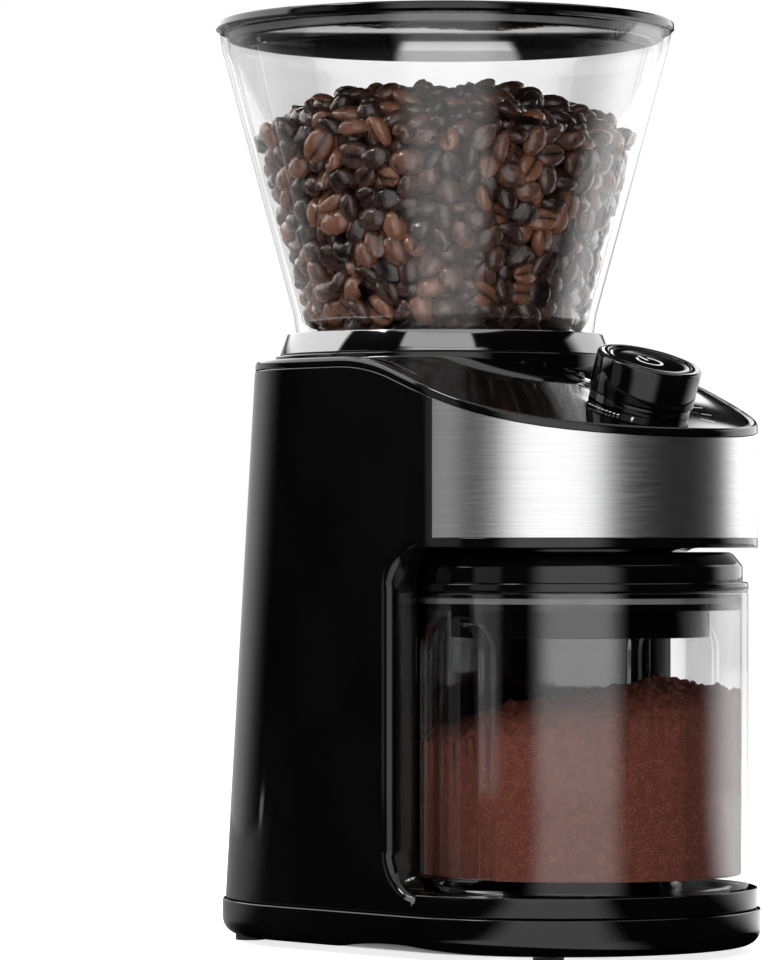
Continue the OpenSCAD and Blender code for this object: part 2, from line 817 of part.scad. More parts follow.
module burr_carrier() {
    color(dark_plastic) difference() {
        union() {
            translate([0, 0, carrier_low])
                cylinder(r = sleeve_bore - slack, h = carrier_top - carrier_low);
            translate([0, 0, chamber_top - 3]) cylinder(r = skirt_r, h = carrier_low - chamber_top + 4);
            for (a = foot_turns) rotate([0, 0, a]) translate([carrier_foot_r, 0, chamber_top + 0.1])
                cylinder(r = carrier_foot, h = carrier_low - chamber_top);
            for (a = key_turns) rotate([0, 0, a]) translate([sleeve_bore - 2, -key_w / 2, carrier_low])
                cube([sleeve_r - sleeve_bore + 1.8, key_w, key_h]);
        }
        translate([0, 0, burr_low - 5]) cylinder(r = ring_burr_r + fit, h = 5.3 + ring_burr_h);
        cylinder(r = mouth_r, h = 300);
        for (a = foot_turns) rotate([0, 0, a]) translate([burr_screw_reach, 0, 0]) {
            translate([0, 0, burr_low]) cylinder(r = burr_screw_r + fit, h = 30);
            translate([0, 0, carrier_top - 1.4]) cylinder(r = burr_screw_head_r + fit, h = 10);
        }
    }
}

module ring_burr() {
    low_tip = cone_r - grind_zone_rise * 0.3 / grind_zone_h + burr_gap;
    high_tip = low_tip - grind_zone_rise;
    upper_h = ring_burr_h - grind_zone_h;
    coarse_teeth = 12;
    color(steel) difference() {
        translate([0, 0, ring_low]) cylinder(r = ring_burr_r, h = ring_burr_h);
        translate([0, 0, ring_low - 0.01])
            linear_extrude(grind_zone_h + 0.02, scale = high_tip / low_tip, twist = 10, slices = 3)
                polygon(star(fine_teeth, low_tip, low_tip + tooth_depth));
        translate([0, 0, ring_low + grind_zone_h])
            linear_extrude(upper_h + 0.02, scale = (throat_r + 0.5) / high_tip, twist = 20, slices = 4)
                polygon(star(coarse_teeth, high_tip, high_tip + 0.8));
        for (a = foot_turns) rotate([0, 0, a])
            translate([burr_screw_reach, 0, ring_low + ring_burr_h - 4])
                cylinder(r = burr_screw_r + fit, h = 10);
    }
}

module burr_screws() {
    color(steel) for (a = foot_turns) rotate([0, 0, a])
        translate([burr_screw_reach, 0, ring_low + ring_burr_h - 3.5]) {
            cylinder(r = burr_screw_r, h = carrier_top - ring_low - ring_burr_h + 2.6);
            translate([0, 0, carrier_top - ring_low - ring_burr_h + 2.2])
                cylinder(r = burr_screw_head_r, h = 1.1);
        }
}

module cone_burr() {
    crush_h = cone_h - grind_zone_h;
    grind_top_r = cone_r - grind_zone_rise;
    color(steel) difference() {
        union() {
            translate([0, 0, burr_low])
                linear_extrude(grind_zone_h, scale = grind_top_r / cone_r, twist = -10, slices = 3)
                    polygon(star(fine_teeth, cone_r, cone_r - tooth_depth));
            translate([0, 0, burr_low + grind_zone_h - 0.5])
                linear_extrude(crush_h + 0.5, scale = cone_tip_r / grind_top_r, twist = -75, slices = 12)
                    polygon(blades(cone_blades, grind_top_r - 0.3, grind_top_r - 4.5));
        }
        translate([0, 0, burr_low - 1]) cylinder(r = burr_shaft_r + fit, h = cone_h + 2);
    }
}

module burr_nut() {
    nut_h = 3.6;
    color(steel) translate([0, 0, burr_low + cone_h]) difference() {
        union() {
            cylinder(r = 6.4, h = 1, $fn = 48);
            cylinder(r = 6.2, h = nut_h, $fn = 6);
        }
        translate([0, 0, -1]) cylinder(r = burr_shaft_r - 1 + fit, h = nut_h + 2);
    }
}

// The sweeper carries ground coffee round the chamber to the chute
module sweeper() {
    hub_r = 9;
    disc_t = 1.4;
    reach = chamber_r - 0.6;
    color(dark_plastic) translate([0, 0, sweeper_low]) difference() {
        union() {
            cylinder(r = cone_r + 1, h = disc_t);
            cylinder(r = hub_r, h = sweeper_t + 0.4);
            for (a = [0:120:240]) rotate([0, 0, a]) translate([hub_r - 1, -1.2, 0])
                cube([reach - hub_r + 1, 2.4, sweeper_t - 0.4]);
        }
        translate([0, 0, -1]) cylinder(r = burr_shaft_r + fit, h = 20);
    }
}

module burr_shaft() {
    shaft_low = plate_top - 5.35;
    color(steel) {
        translate([0, 0, shaft_low]) cylinder(r = burr_shaft_r, h = burr_low + cone_h - shaft_low);
        translate([0, 0, shaft_low]) cylinder(r = burr_shaft_r - 1, h = burr_low + cone_h + 3.2 - shaft_low);
    }
}

// The chamber round the burrs, with an outlet in front and three climbing ramps on its flange
module grinding_chamber() {
    flange_t = 2;
    port_w = 19;
    port_h = 5.6;
    ramp_step = 10;
    ramp_in = 31;
    ramp_out = 36;
    lead_in = asin(carrier_foot / carrier_foot_r) + 0.8;
    color(dark_plastic) difference() {
        union() {
            translate([0, 0, case_top])
                cylinder(r = chamber_r + chamber_wall, h = chamber_top - case_top);
            translate([0, 0, chamber_top - flange_t]) cylinder(r = flange_r, h = flange_t);
            for (a = foot_turns, t = [ramp_step:ramp_step:grind_turn]) {
                rise = burr_lift * (t - lead_in) / grind_turn;
                rotate([0, 0, a + t]) translate([0, 0, chamber_top - 0.5])
                    rotate_extrude(angle = ramp_step - 0.5) translate([ramp_in, 0])
                        square([ramp_out - ramp_in, 0.5 + rise]);
            }
        }
        translate([0, 0, chamber_floor]) cylinder(r = chamber_r, h = 20);
        translate([0, 0, case_top - 1]) cylinder(r = bush_r + 0.02, h = 10);
        translate([-port_w / 2, -chamber_r - chamber_wall - 1, chamber_floor])
            cube([port_w, 10, port_h]);
        for (a = case_screw_turns) rotate([0, 0, a]) translate([case_screw_reach, 0, case_top - 1]) {
            cylinder(r = screw_r + fit, h = 10);
            translate([0, 0, 1.2]) cylinder(r = screw_head_r + slack, h = 10);
        }
    }
}

// The chute: a sloping duct from the chamber's outlet to a spout in the head's floor
module grounds_chute() {
    duct_w = 18;
    duct_h = 6.4;
    skin = 1.4;
    start_z = chamber_floor + 1.6;
    run = can_reach + 4;
    spout_top = head_under + 19;
    module duct(w, h, from, to) {
        translate([0, 0, start_z]) rotate([chute_slope, 0, 0])
            translate([-w / 2, -to, -h / 2]) cube([w, to - from, h]);
    }
    color(dark_plastic) difference() {
        union() {
            intersection() {
                duct(duct_w + 2 * skin, duct_h + 2 * skin, 10, 90);
                translate([-20, -can_reach, roof_top + 0.5]) cube([40, can_reach - 20, 60]);
            }
            translate([0, -can_reach, head_under]) cylinder(r = spout_r, h = spout_top - head_under);
        }
        intersection() {
            duct(duct_w, duct_h, 5, 90);
            translate([-20, -can_reach, head_under - 1]) cube([40, can_reach, 60]);
        }
        translate([0, -can_reach, head_under - 1])
            cylinder(r = spout_r - 1.6, h = spout_top - head_under - 0.4);
        cylinder(r = chamber_r + chamber_wall + fit, h = 300);
    }
}

// Gears and gearbox

bush_r = 6.5;
low_bush_r = 5.6;
case_screw_turns = [60, 180, 240];
case_screw_reach = 12.5;

function rolled(a) = tan(a) * 180 / PI - a;

// Outline of an involute gear with its first tooth on +X
function gear_outline(m, teeth) = let (
        angle = 25,
        r = m * teeth / 2,
        base = r * cos(angle),
        half = (PI * m / 2 - backlash / 2) / (2 * r) * 180 / PI,
        radii = [r - 1.25 * m, max(base, r - 1.1 * m), r, r + 0.5 * m, r + 0.92 * m],
        spread = [for (q = radii) half + rolled(angle) - (q > base ? rolled(acos(base / q)) : 0)]
    )
    [for (i = [0:teeth - 1]) each let (mid = 360 * i / teeth) concat(
        [for (k = [0:4]) radii[k] * [cos(mid - spread[k]), sin(mid - spread[k])]],
        [for (k = [4:-1:0]) radii[k] * [cos(mid + spread[k]), sin(mid + spread[k])]]
    )];

module gear(m, teeth, thickness) {
    linear_extrude(thickness) polygon(gear_outline(m, teeth));
}

module at_motor() {
    translate([0, motor_offset, 0]) children();
}

module at_idler() {
    translate([idler_x, idler_y, 0]) children();
}

module drive_gear() {
    color(nylon_white) difference() {
        union() {
            translate([0, 0, gear_2_low]) rotate([0, 0, drive_from_idler + 180 + 180 / drive_teeth])
                gear(module_2, drive_teeth, gear_2_t);
            translate([0, 0, gear_2_low - 0.6]) cylinder(r = 6.5, h = gear_2_t + 1);
        }
        translate([0, 0, gear_2_low - 2]) cylinder(r = burr_shaft_r + fit, h = 20);
        // Web pockets
        for (a = [0:60:300]) rotate([0, 0, a]) translate([11, 0, gear_2_low + 2])
            cylinder(r = 3.2, h = 10);
    }
}

module idler_gear() {
    color(nylon_white) at_idler() difference() {
        union() {
            translate([0, 0, gear_1_low])
                rotate([0, 0, idler_from_motor + 180 + 180 / wheel_teeth])
                    gear(module_1, wheel_teeth, gear_1_t);
            translate([0, 0, gear_1_low + 1]) rotate([0, 0, drive_from_idler])
                gear(module_2, idler_teeth, gear_2_low + gear_2_t - gear_1_low - 1);
            translate([0, 0, plate_top + 0.1]) cylinder(r = 3.6, h = 2);
        }
        translate([0, 0, plate_top - 1]) cylinder(r = idler_pin_r + fit, h = 30);
    }
}

module idler_pin() {
    color(steel) at_idler() translate([0, 0, roof_top + 0.2])
        cylinder(r = idler_pin_r, h = case_top - 0.8 - roof_top);
}

module motor_pinion() {
    color(brass) at_motor() translate([0, 0, gear_1_low]) difference() {
        rotate([0, 0, idler_from_motor]) gear(module_1, pinion_teeth, gear_1_t);
        translate([0, 0, -1]) cylinder(r = motor_shaft_r + 0.02, h = gear_1_t + 2);
    }
}

motor_pad_t = 5;
motor_top = roof_top - motor_pad_t;
motor_low = motor_top - motor_len;
motor_screw_reach = 12;
plate_r = ring_burr_r;
plate_reach = tower_x + tower_r + 1.5;

module gearbox_plate() {
    color(dark_plastic) difference() {
        union() {
            translate([0, 0, roof_top]) linear_extrude(plate_t) {
                circle(r = plate_r);
                translate([-plate_reach, tower_y - 8]) square([2 * plate_reach, 16]);
                translate([2 - plate_r, -plate_r]) square([2 * plate_r - 4, plate_r + motor_offset + 4]);
                translate([idler_x, idler_y]) circle(r = 20);
            }
            at_motor() translate([0, 0, motor_top]) cylinder(r = 15.5, h = motor_pad_t + 1);
        }
        translate([0, 0, roof_top - 10]) cylinder(r = low_bush_r + 0.02, h = 20);
        at_motor() {
            translate([0, 0, motor_top - 1]) cylinder(r = 8 + fit, h = 4);
            translate([0, 0, motor_top]) cylinder(r = 5.6, h = 20);
            for (side = [-1, 1]) translate([side * motor_screw_reach, 0, motor_top - 1]) {
                cylinder(r = screw_r + fit, h = 20);
                translate([0, 0, motor_pad_t + plate_t - 1]) cylinder(r = screw_head_r + slack, h = 10);
            }
        }
        at_idler() translate([0, 0, roof_top - 1]) cylinder(r = idler_pin_r + 0.02, h = 20);
        for (side = [-1, 1])
            translate([side * tower_x, tower_y, roof_top - 1]) cylinder(r = screw_r + fit, h = 20);
    }
}

// Outline of the gear case: a round bay for each gear
module case_outline(grow) {
    circle(r = module_2 * (drive_teeth / 2 + 1) + 1 + grow);
    translate([idler_x, idler_y]) circle(r = module_1 * (wheel_teeth / 2 + 1) + 1 + grow);
    translate([0, motor_offset]) circle(r = module_1 * (pinion_teeth / 2 + 1) + 1.4 + grow);
}

module gearbox_case() {
    color(dark_plastic) difference() {
        translate([0, 0, plate_top]) linear_extrude(case_top - plate_top) case_outline(case_wall);
        translate([0, 0, plate_top - 1]) linear_extrude(case_top - plate_top + 1 - case_wall)
            case_outline(0);
        translate([0, 0, plate_top]) cylinder(r = bush_r + 0.02, h = 30);
        at_idler() translate([0, 0, plate_top]) cylinder(r = idler_pin_r + 0.02, h = case_top - plate_top - 0.5);
        for (a = case_screw_turns) rotate([0, 0, a]) translate([case_screw_reach, 0, plate_top])
            cylinder(r = screw_r + fit, h = 40);
    }
}

module gearbox_screws() {
    color(steel) {
        for (a = case_screw_turns) rotate([0, 0, a])
            translate([case_screw_reach, 0, case_top - case_wall + 0.1]) {
                cylinder(r = screw_r, h = case_wall + 1);
                translate([0, 0, case_wall + 0.2]) cylinder(r = screw_head_r, h = 1.6);
            }
        for (side = [-1, 1]) translate([side * tower_x, tower_y, plate_top - 12]) {
            cylinder(r = screw_r, h = 12);
            translate([0, 0, 12]) cylinder(r = screw_head_r, h = screw_head_t);
        }
    }
}

module lower_bush() {
    color(brass) translate([0, 0, plate_top - 7]) difference() {
        cylinder(r = low_bush_r, h = 7);
        translate([0, 0, 1.6]) cylinder(r = burr_shaft_r + fit, h = 10);
    }
}

module upper_bush() {
    color(brass) translate([0, 0, case_top - case_wall]) difference() {
        cylinder(r = bush_r, h = chamber_floor - case_top + case_wall);
        translate([0, 0, -1]) cylinder(r = burr_shaft_r + fit, h = 10);
    }
}

// Motor

can_t = 1.5;
bell_h = 12;
stack_low = motor_low + 24;
stack_h = motor_len - 42;
stack_r = 18.4;

module motor_can() {
    color(steel) at_motor() difference() {
        union() {
            translate([0, 0, motor_low + bell_h]) cylinder(r = motor_r, h = motor_len - bell_h);
            translate([0, 0, motor_top]) cylinder(r = 8, h = 2.6);
        }
        translate([0, 0, motor_low]) cylinder(r = motor_r - can_t, h = motor_len - 3);
        translate([0, 0, motor_low]) cylinder(r = motor_shaft_r + fit, h = motor_len + 10);
        for (side = [-1, 1]) translate([side * motor_screw_reach, 0, motor_top - 4])
            cylinder(r = screw_r + fit, h = 10);
        // Cooling windows under the top plate
        for (a = [0:60:300]) rotate([0, 0, a]) translate([motor_r - 5, -4, motor_top - 14])
            cube([10, 8, 8]);
    }
}

module brush_card() {
    color(dark_plastic) at_motor() translate([0, 0, motor_low]) difference() {
        union() {
            cylinder(r = motor_r, h = bell_h);
            cylinder(r = motor_r - can_t - fit, h = bell_h + 2);
        }
        translate([0, 0, 3]) cylinder(r = motor_r - 4, h = 30);
        translate([0, 0, -1]) cylinder(r = motor_shaft_r + fit, h = 10);
        for (a = [0:45:315]) rotate([0, 0, a]) translate([14, 0, -1]) cylinder(r = 2.6, h = 10);
    }
}

module motor_magnets() {
    r_out = motor_r - can_t;
    color(rubber_grey) at_motor() for (a = [-70, 110]) rotate([0, 0, a])
        translate([0, 0, stack_low - 2]) rotate_extrude(angle = 140)
            translate([r_out - 3.3, 0]) square([3.25, stack_h + 4]);
}

// Slotted stack, end windings and commutator, all fixed on the shaft
module armature() {
    slots = 10;
    color(steel) at_motor() difference() {
        union() {
            translate([0, 0, stack_low]) difference() {
                cylinder(r = stack_r, h = stack_h);
                for (i = [0:slots - 1]) rotate([0, 0, 360 * i / slots]) {
                    translate([stack_r - 2, -0.9, -1]) cube([4, 1.8, stack_h + 2]);
                    translate([stack_r - 5, 0, -1]) cylinder(r = 2.4, h = stack_h + 2);
                }
            }
            translate([0, 0, stack_low - 5]) cylinder(r1 = 11, r2 = 15, h = 5);
            translate([0, 0, stack_low + stack_h]) cylinder(r1 = 15, r2 = 11, h = 4);
            translate([0, 0, motor_low + 5]) cylinder(r = 6.5, h = stack_low - motor_low - 9);
        }
        translate([0, 0, motor_low]) cylinder(r = motor_shaft_r + 0.02, h = motor_len);
    }
}

module motor_shaft() {
    color(steel) at_motor() translate([0, 0, motor_low + 0.4])
        cylinder(r = motor_shaft_r, h = gear_1_low + gear_1_t + 0.3 - motor_low);
}

module cooling_fan() {
    color(dark_plastic) at_motor() translate([0, 0, motor_top - 12.5]) difference() {
        union() {
            cylinder(r = 5, h = 7);
            cylinder(r = stack_r, h = 1.2);
            for (a = [0:40:320]) rotate([0, 0, a]) translate([4, -0.6, 0]) cube([stack_r - 4.5, 1.2, 6]);
        }
        translate([0, 0, -1]) cylinder(r = motor_shaft_r + 0.02, h = 20);
    }
}

module motor_screws() {
    color(steel) at_motor() for (side = [-1, 1])
        translate([side * motor_screw_reach, 0, motor_top - 2.6]) {
            cylinder(r = screw_r, h = motor_pad_t + plate_t + 1.6);
            translate([0, 0, motor_pad_t + plate_t + 0.7]) cylinder(r = screw_head_r, h = 1.4);
        }
}

// Switches and boards

// Places children about the container's axis, turned clear of the motor
module at_switch() {
    at_container() rotate([0, 0, switch_turn]) children();
}

// A switch behind the bay wall whose plunger the container pushes in
module container_switch() {
    size = switch_body;
    reach = bay_r + wall + fit;
    color(dark_plastic) at_switch() {
        translate([-size.x / 2, reach, switch_z - size.z / 2]) cube(size);
        translate([-2, bay_r - 0.9, switch_z - 2]) cube([4, reach - bay_r + 1.9, 4]);
    }
}

module control_board() {
    color(circuit_green) on_panel() difference() {
        translate([-board_size.x / 2, -board_size.y / 2, -board_depth - board_size.z])
            cube(board_size);
        for (x = [-1, 1], y = [-1, 1])
            translate([x * board_post.x, y * board_post.y, -board_depth - 3]) cylinder(r = screw_r, h = 5);
    }
}

// Rotary timer switch: a square body on the board, a neck through the cover, and a centre plunger
module timer_dial_switch() {
    color(dark_plastic) on_panel() {
        difference() {
            union() {
                translate([-8, -8, -board_depth]) cube([16, 16, 7.4]);
                translate([0, 0, -board_depth + 7]) cylinder(r = switch_neck_r, h = board_depth - 6.5);
            }
            translate([0, 0, -board_depth + 3.4]) cylinder(r = 3 + fit, h = 20);
        }
        translate([0, 0, -board_depth + 3]) cylinder(r = 1.5, h = 1.6);
    }
}

module driver_board() {
    size = [1.6, board_w, board_h - 4];
    translate([-board_x, 0, board_low + 2]) {
        color(circuit_green) cube(size);
        color(rubber_grey) {
            translate([size.x, 10, 12]) rotate([0, 90, 0]) cylinder(r = 5, h = 8);
            translate([size.x, board_w - 16, 30]) cube([6, 12, 16]);
            translate([size.x, 4, 30]) cube([8, 10, 12]);
        }
    }
}

// Knob and power button, square to the sloping panel

module knob_plinth() {
    color(gloss_black) on_panel() difference() {
        cylinder(r = knob_r - 0.6, h = plinth_h);
        translate([0, 0, -1]) cylinder(r = switch_neck_r + slack, h = plinth_h + 2);
    }
}

module selector_knob() {
    shell = 1.6;
    low = plinth_h + slack;
    top = low + knob_h;
    web = top - 4.2;
    color(gloss_black) on_panel() difference() {
        union() {
            rotate_extrude() polygon([
                [0, low], [knob_r - 0.3, low], [knob_r, low + 0.4], [knob_r, top - 0.9],
                [knob_r - 0.3, top - 0.3], [knob_r - 0.9, top], [0, top]
            ]);
            translate([0, 0, -board_depth + 6]) cylinder(r = 3, h = board_depth);
        }
        difference() {
            translate([0, 0, low - 1]) cylinder(r = knob_r - shell, h = web - low + 1);
            translate([0, 0, low - 2]) cylinder(r = 3, h = 20);
        }
        translate([0, 0, web + 1.2]) cylinder(r = button_r + slack / 2, h = 10);
        translate([0, 0, -board_depth]) cylinder(r = 1.75, h = 40);
    }
}

module power_button() {
    top = plinth_h + slack + knob_h - 0.25;
    color(gloss_black) on_panel() {
        translate([0, 0, top - 1.5]) cylinder(r = button_r, h = 1.5);
        translate([0, 0, -board_depth + 6]) cylinder(r = 1.5, h = top - 1 + board_depth - 6);
    }
}

// Grounds container, drawn about its own axis

module at_container() {
    translate([0, -can_reach, 0]) children();
}

// Marks out both grip recesses, as columns with rounded tops outside inner_r
module grip_columns(grow, inner_r) {
    w = grip_w + 2 * grow;
    corner = grip_corner_r + grow;
    low = can_low + can_floor;
    top = grip_top_h + grow;
    for (side = [-1, 1]) rotate([0, 0, side * grip_turn]) difference() {
        translate([0, -can_r + 15, 0]) rotate([90, 0, 0]) linear_extrude(20) {
            translate([-w / 2, low]) square([w, top - corner - low]);
            translate([-w / 2 + corner, low]) square([w - 2 * corner, top - low]);
            for (s = [-1, 1]) translate([s * (w / 2 - corner), top - corner]) circle(r = corner);
        }
        translate([0, 0, low - 1]) cylinder(r = inner_r, h = top - low + 2);
    }
}

module grounds_container() {
    inner_r = can_r - can_wall;
    color(clear_plastic) at_container() difference() {
        translate([0, 0, can_low]) cylinder(r = can_r, h = can_rim_h - can_low);
        difference() {
            translate([0, 0, can_low + can_floor]) cylinder(r = inner_r, h = can_rim_h);
            grip_columns(can_wall, inner_r - grip_depth);
        }
        grip_columns(0, can_r - grip_depth);
        // Shallow hollow that leaves a foot ring
        translate([0, 0, can_low - 1]) cylinder(r = can_r - 5, h = 2);
    }
}

lid_plug_r = can_r - can_wall - 0.4;
lid_mouth_r = 16.5;
lid_ring_r = 38;
lid_ring_low = 92.8;
lid_plug_low = can_rim_h - 5.2;
lid_step_h = 3;
lid_shoulder_h = 7.7;
lid_top = head_under - 1.2;

module container_lid() {
    t = 1.8;
    color(gloss_black) at_container() rotate_extrude() polygon([
        [lid_plug_r, lid_plug_low], [lid_plug_r, can_rim_h], [can_r - 0.6, can_rim_h],
        [can_r, can_rim_h + 0.6], [can_r, can_rim_h + lid_step_h - 0.6],
        [can_r - 0.6, can_rim_h + lid_step_h], [can_r - 1.7, can_rim_h + lid_step_h],
        [can_r - 1.7, can_rim_h + lid_shoulder_h], [can_r - 3.5, lid_top - 1.2],
        [can_r - 5, lid_top], [lid_mouth_r + 2, lid_top], [lid_mouth_r, lid_top - 1.5],
        [lid_mouth_r, lid_top - t - 1], [lid_ring_r - t, lid_top - t - 1],
        [lid_ring_r - t, lid_ring_low], [lid_ring_r, lid_ring_low], [lid_ring_r, lid_top - t - 1],
        [can_r - 6, lid_top - t - 1], [can_r - 1.7 - t, can_rim_h + lid_shoulder_h - 1],
        [can_r - 1.7 - t, can_rim_h], [lid_plug_r - t, can_rim_h - 0.5],
        [lid_plug_r - t, lid_plug_low]
    ]);
}

module container_seal() {
    color(rubber_grey) at_container() rotate_extrude()
        translate([lid_plug_r, lid_plug_low + 2]) square([0.35, 1.6]);
}

module cord_inlet() {
    color(rubber_grey) on_back(inlet_z) difference() {
        union() {
            translate([0, 0, 0.02]) cylinder(r = 7, h = 1.2);
            translate([0, 0, -wall - 2]) cylinder(r = inlet_body_r, h = wall + 2.5);
        }
        translate([0, 0, -10]) cylinder(r = inlet_bore_r, h = 20);
    }
}

on_axis() feet();
on_axis() base_cover();
on_axis() base_screws();
on_axis() main_housing();
on_axis() steel_band();
on_axis() top_cover();
on_axis() cover_screws();
on_axis() scale_ring();
on_axis() grind_collar();
on_axis() adjust_sleeve();
on_axis() bean_hopper();
on_axis() hopper_lid();
on_axis() lid_seal();
on_axis() burr_carrier();
on_axis() ring_burr();
on_axis() burr_screws();
on_axis() cone_burr();
on_axis() burr_nut();
on_axis() sweeper();
on_axis() burr_shaft();
on_axis() drive_gear();
on_axis() idler_gear();
on_axis() idler_pin();
on_axis() motor_pinion();
on_axis() motor_shaft();
on_axis() armature();
on_axis() cooling_fan();
on_axis() motor_can();
on_axis() motor_magnets();
on_axis() brush_card();
on_axis() motor_screws();
on_axis() gearbox_plate();
on_axis() gearbox_case();
on_axis() gearbox_screws();
on_axis() lower_bush();
on_axis() upper_bush();
on_axis() grinding_chamber();
on_axis() grounds_chute();
on_axis() container_switch();
on_axis() control_board();
on_axis() timer_dial_switch();
on_axis() driver_board();
on_axis() knob_plinth();
on_axis() selector_knob();
on_axis() power_button();
on_axis() grounds_container();
on_axis() container_lid();
on_axis() container_seal();
on_axis() cord_inlet();
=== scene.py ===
import math

import bmesh
import bpy
import numpy as np
from mathutils import Matrix, Vector, noise


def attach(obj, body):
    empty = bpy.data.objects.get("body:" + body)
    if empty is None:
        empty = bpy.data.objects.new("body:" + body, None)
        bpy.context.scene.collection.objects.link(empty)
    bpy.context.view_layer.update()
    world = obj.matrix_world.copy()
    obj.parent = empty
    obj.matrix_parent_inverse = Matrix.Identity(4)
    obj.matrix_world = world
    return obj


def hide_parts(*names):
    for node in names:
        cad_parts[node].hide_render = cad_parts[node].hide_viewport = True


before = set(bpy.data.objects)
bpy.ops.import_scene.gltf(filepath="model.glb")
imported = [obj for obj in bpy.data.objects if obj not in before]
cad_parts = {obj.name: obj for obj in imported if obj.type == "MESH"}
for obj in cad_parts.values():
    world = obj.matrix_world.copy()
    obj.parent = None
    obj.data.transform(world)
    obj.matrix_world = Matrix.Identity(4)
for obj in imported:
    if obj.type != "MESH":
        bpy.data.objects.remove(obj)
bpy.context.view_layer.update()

# ---- Camera
# A long lens at the height of the grinder's head, from its front left.

camera_turn = -42
camera_data = bpy.data.cameras.new("camera")
camera_data.lens = 198.75
camera_data.sensor_width = 36
camera_data.shift_x = -0.0667
camera_data.shift_y = 0.0708
camera_data.clip_end = 60
camera = bpy.data.objects.new("camera", camera_data)
camera.location = (-1.07462, -1.17421, 0.119)
camera.rotation_euler = (math.radians(90), 0, math.radians(camera_turn))
bpy.context.scene.collection.objects.link(camera)
bpy.context.scene.camera = camera
bpy.context.scene.view_settings.view_transform = "Standard"

# ---- Studio
# A pale floor in a white room. Softboxes stand round the grinder, and black felt between
# them keeps the gloss dark; the felt and the low sheets are seen only in reflections.

studio_y = -0.02


def node(finish, kind, fed=(), **settings):
    """Adds a node to a finish; fed gives its inputs a value or another node's output."""
    made = finish.node_tree.nodes.new("ShaderNode" + kind)
    for name, value in settings.items():
        setattr(made, name, value)
    for socket, value in dict(fed).items():
        if isinstance(value, bpy.types.NodeSocket):
            finish.node_tree.links.new(value, made.inputs[socket])
        else:
            made.inputs[socket].default_value = value
    return made


def bare_finish(name):
    finish = bpy.data.materials.new(name)
    finish.use_nodes = True
    finish.node_tree.nodes.clear()
    return finish


def seen_directly(finish):
    """1 for camera rays, reflections and what is seen through clear plastic, 0 for the light on things."""
    rays = node(finish, "LightPath").outputs
    seen = rays["Is Camera Ray"]
    for kind in ("Is Glossy Ray", "Is Transmission Ray"):
        seen = node(finish, "Math", {0: seen, 1: rays[kind]}, operation="ADD", use_clamp=True).outputs[0]
    return seen


def mesh_object(name, bm, finish, normals=None):
    mesh = bpy.data.meshes.new(name)
    bm.to_mesh(mesh)
    bm.free()
    if normals:
        mesh.normals_split_custom_set_from_vertices(normals)
    mesh.materials.append(finish)
    made = bpy.data.objects.new(name, mesh)
    bpy.context.scene.collection.objects.link(made)
    return made


def stage_mesh(name, bm, finish):
    made = mesh_object(name, bm, finish)
    return made


def ring_patch(bm, turns, heights, reaches, steps=24):
    """Bends a grid round the grinder, its rows from one height and reach to another."""
    corners = bmesh.ops.create_grid(bm, x_segments=steps, y_segments=1, size=0.5, calc_uvs=True)["verts"]
    for v in corners:
        turn = math.radians(camera_turn - 90 + turns[0] + (v.co.x + 0.5) * (turns[1] - turns[0]))
        share = v.co.y + 0.5
        reach = reaches[0] + share * (reaches[1] - reaches[0])
        height = heights[0] + share * (heights[1] - heights[0])
        v.co = (reach * math.cos(turn), reach * math.sin(turn) + studio_y, height)


def softbox(name, turns, heights, glow, sides=(0.1, 0.1), rim=0.1, reaches=(1.0, 1.0)):
    """A glowing card with feathered edges; turns are degrees to the right of the camera."""
    finish = bare_finish(name)
    place = node(finish, "TexCoord")
    axes = node(finish, "SeparateXYZ", {"Vector": place.outputs["UV"]})
    weave = node(finish, "TexNoise", {"Scale": 40.0})
    fade = node(finish, "MapRange", {"Value": weave.outputs[0], "To Min": 0.97 * glow, "To Max": 1.03 * glow})
    feathers = (("X", 0.0, sides[0]), ("X", 1.0, 1.0 - sides[1]), ("Y", 0.0, rim), ("Y", 1.0, 1.0 - rim))
    for axis, dark, lit in feathers:
        edge = node(finish, "MapRange", {"Value": axes.outputs[axis], "From Min": dark, "From Max": lit},
                    interpolation_type="SMOOTHSTEP")
        fade = node(finish, "Math", {0: fade.outputs[0], 1: edge.outputs[0]}, operation="MULTIPLY")
    light = node(finish, "Emission", {"Strength": fade.outputs[0]})
    node(finish, "OutputMaterial", {"Surface": light.outputs[0]})
    bm = bmesh.new()
    bm.loops.layers.uv.new("card")
    ring_patch(bm, turns, heights, reaches)
    card = stage_mesh(name, bm, finish)
    card.visible_camera = False
    card.visible_transmission = False
    card.visible_shadow = False
    return card


def only_in_reflections(thing):
    thing.visible_camera = False
    thing.visible_diffuse = False
    thing.visible_transmission = False
    thing.visible_shadow = False


softbox("front_softbox", (-38, 33), (-0.1, 0.78), 1.45, sides=(0.24, 0.24), rim=0.01)
softbox("top_softbox", (-37, 23), (0.78, 1.25), 1.3, sides=(0.05, 0.05), rim=0.01)
softbox("left_softbox", (-182, -82), (0.3, 1.3), 2.6, sides=(0.04, 0.04))
softbox("high_softbox", (-205, -80), (1.3, 2.0), 5.0)
softbox("left_fill", (-172, -113), (-0.1, 0.32), 0.55, sides=(0.1, 0.5))
softbox("lid_card", (179.2, 183.1), (0.16, 0.27), 0.95, rim=0.12, reaches=(0.99, 0.99))
softbox("left_edge_light", (-82, -54), (-0.1, 0.6), 0.36, sides=(0.2, 0.2))
softbox("right_softbox", (100, 168), (0.06, 0.72), 1.8, sides=(0.3, 0.2), rim=0.08)
softbox("right_low_card", (88, 168), (-0.1, 0.11), 1.3, sides=(0.5, 0.1), rim=0.12)
softbox("key_light", (-76, -54), (1.12, 1.5), 22.0)
softbox("back_window", (171.1, 172.8), (0.655, 0.74), 10.0, sides=(0.12, 0.12), reaches=(0.996, 0.996))
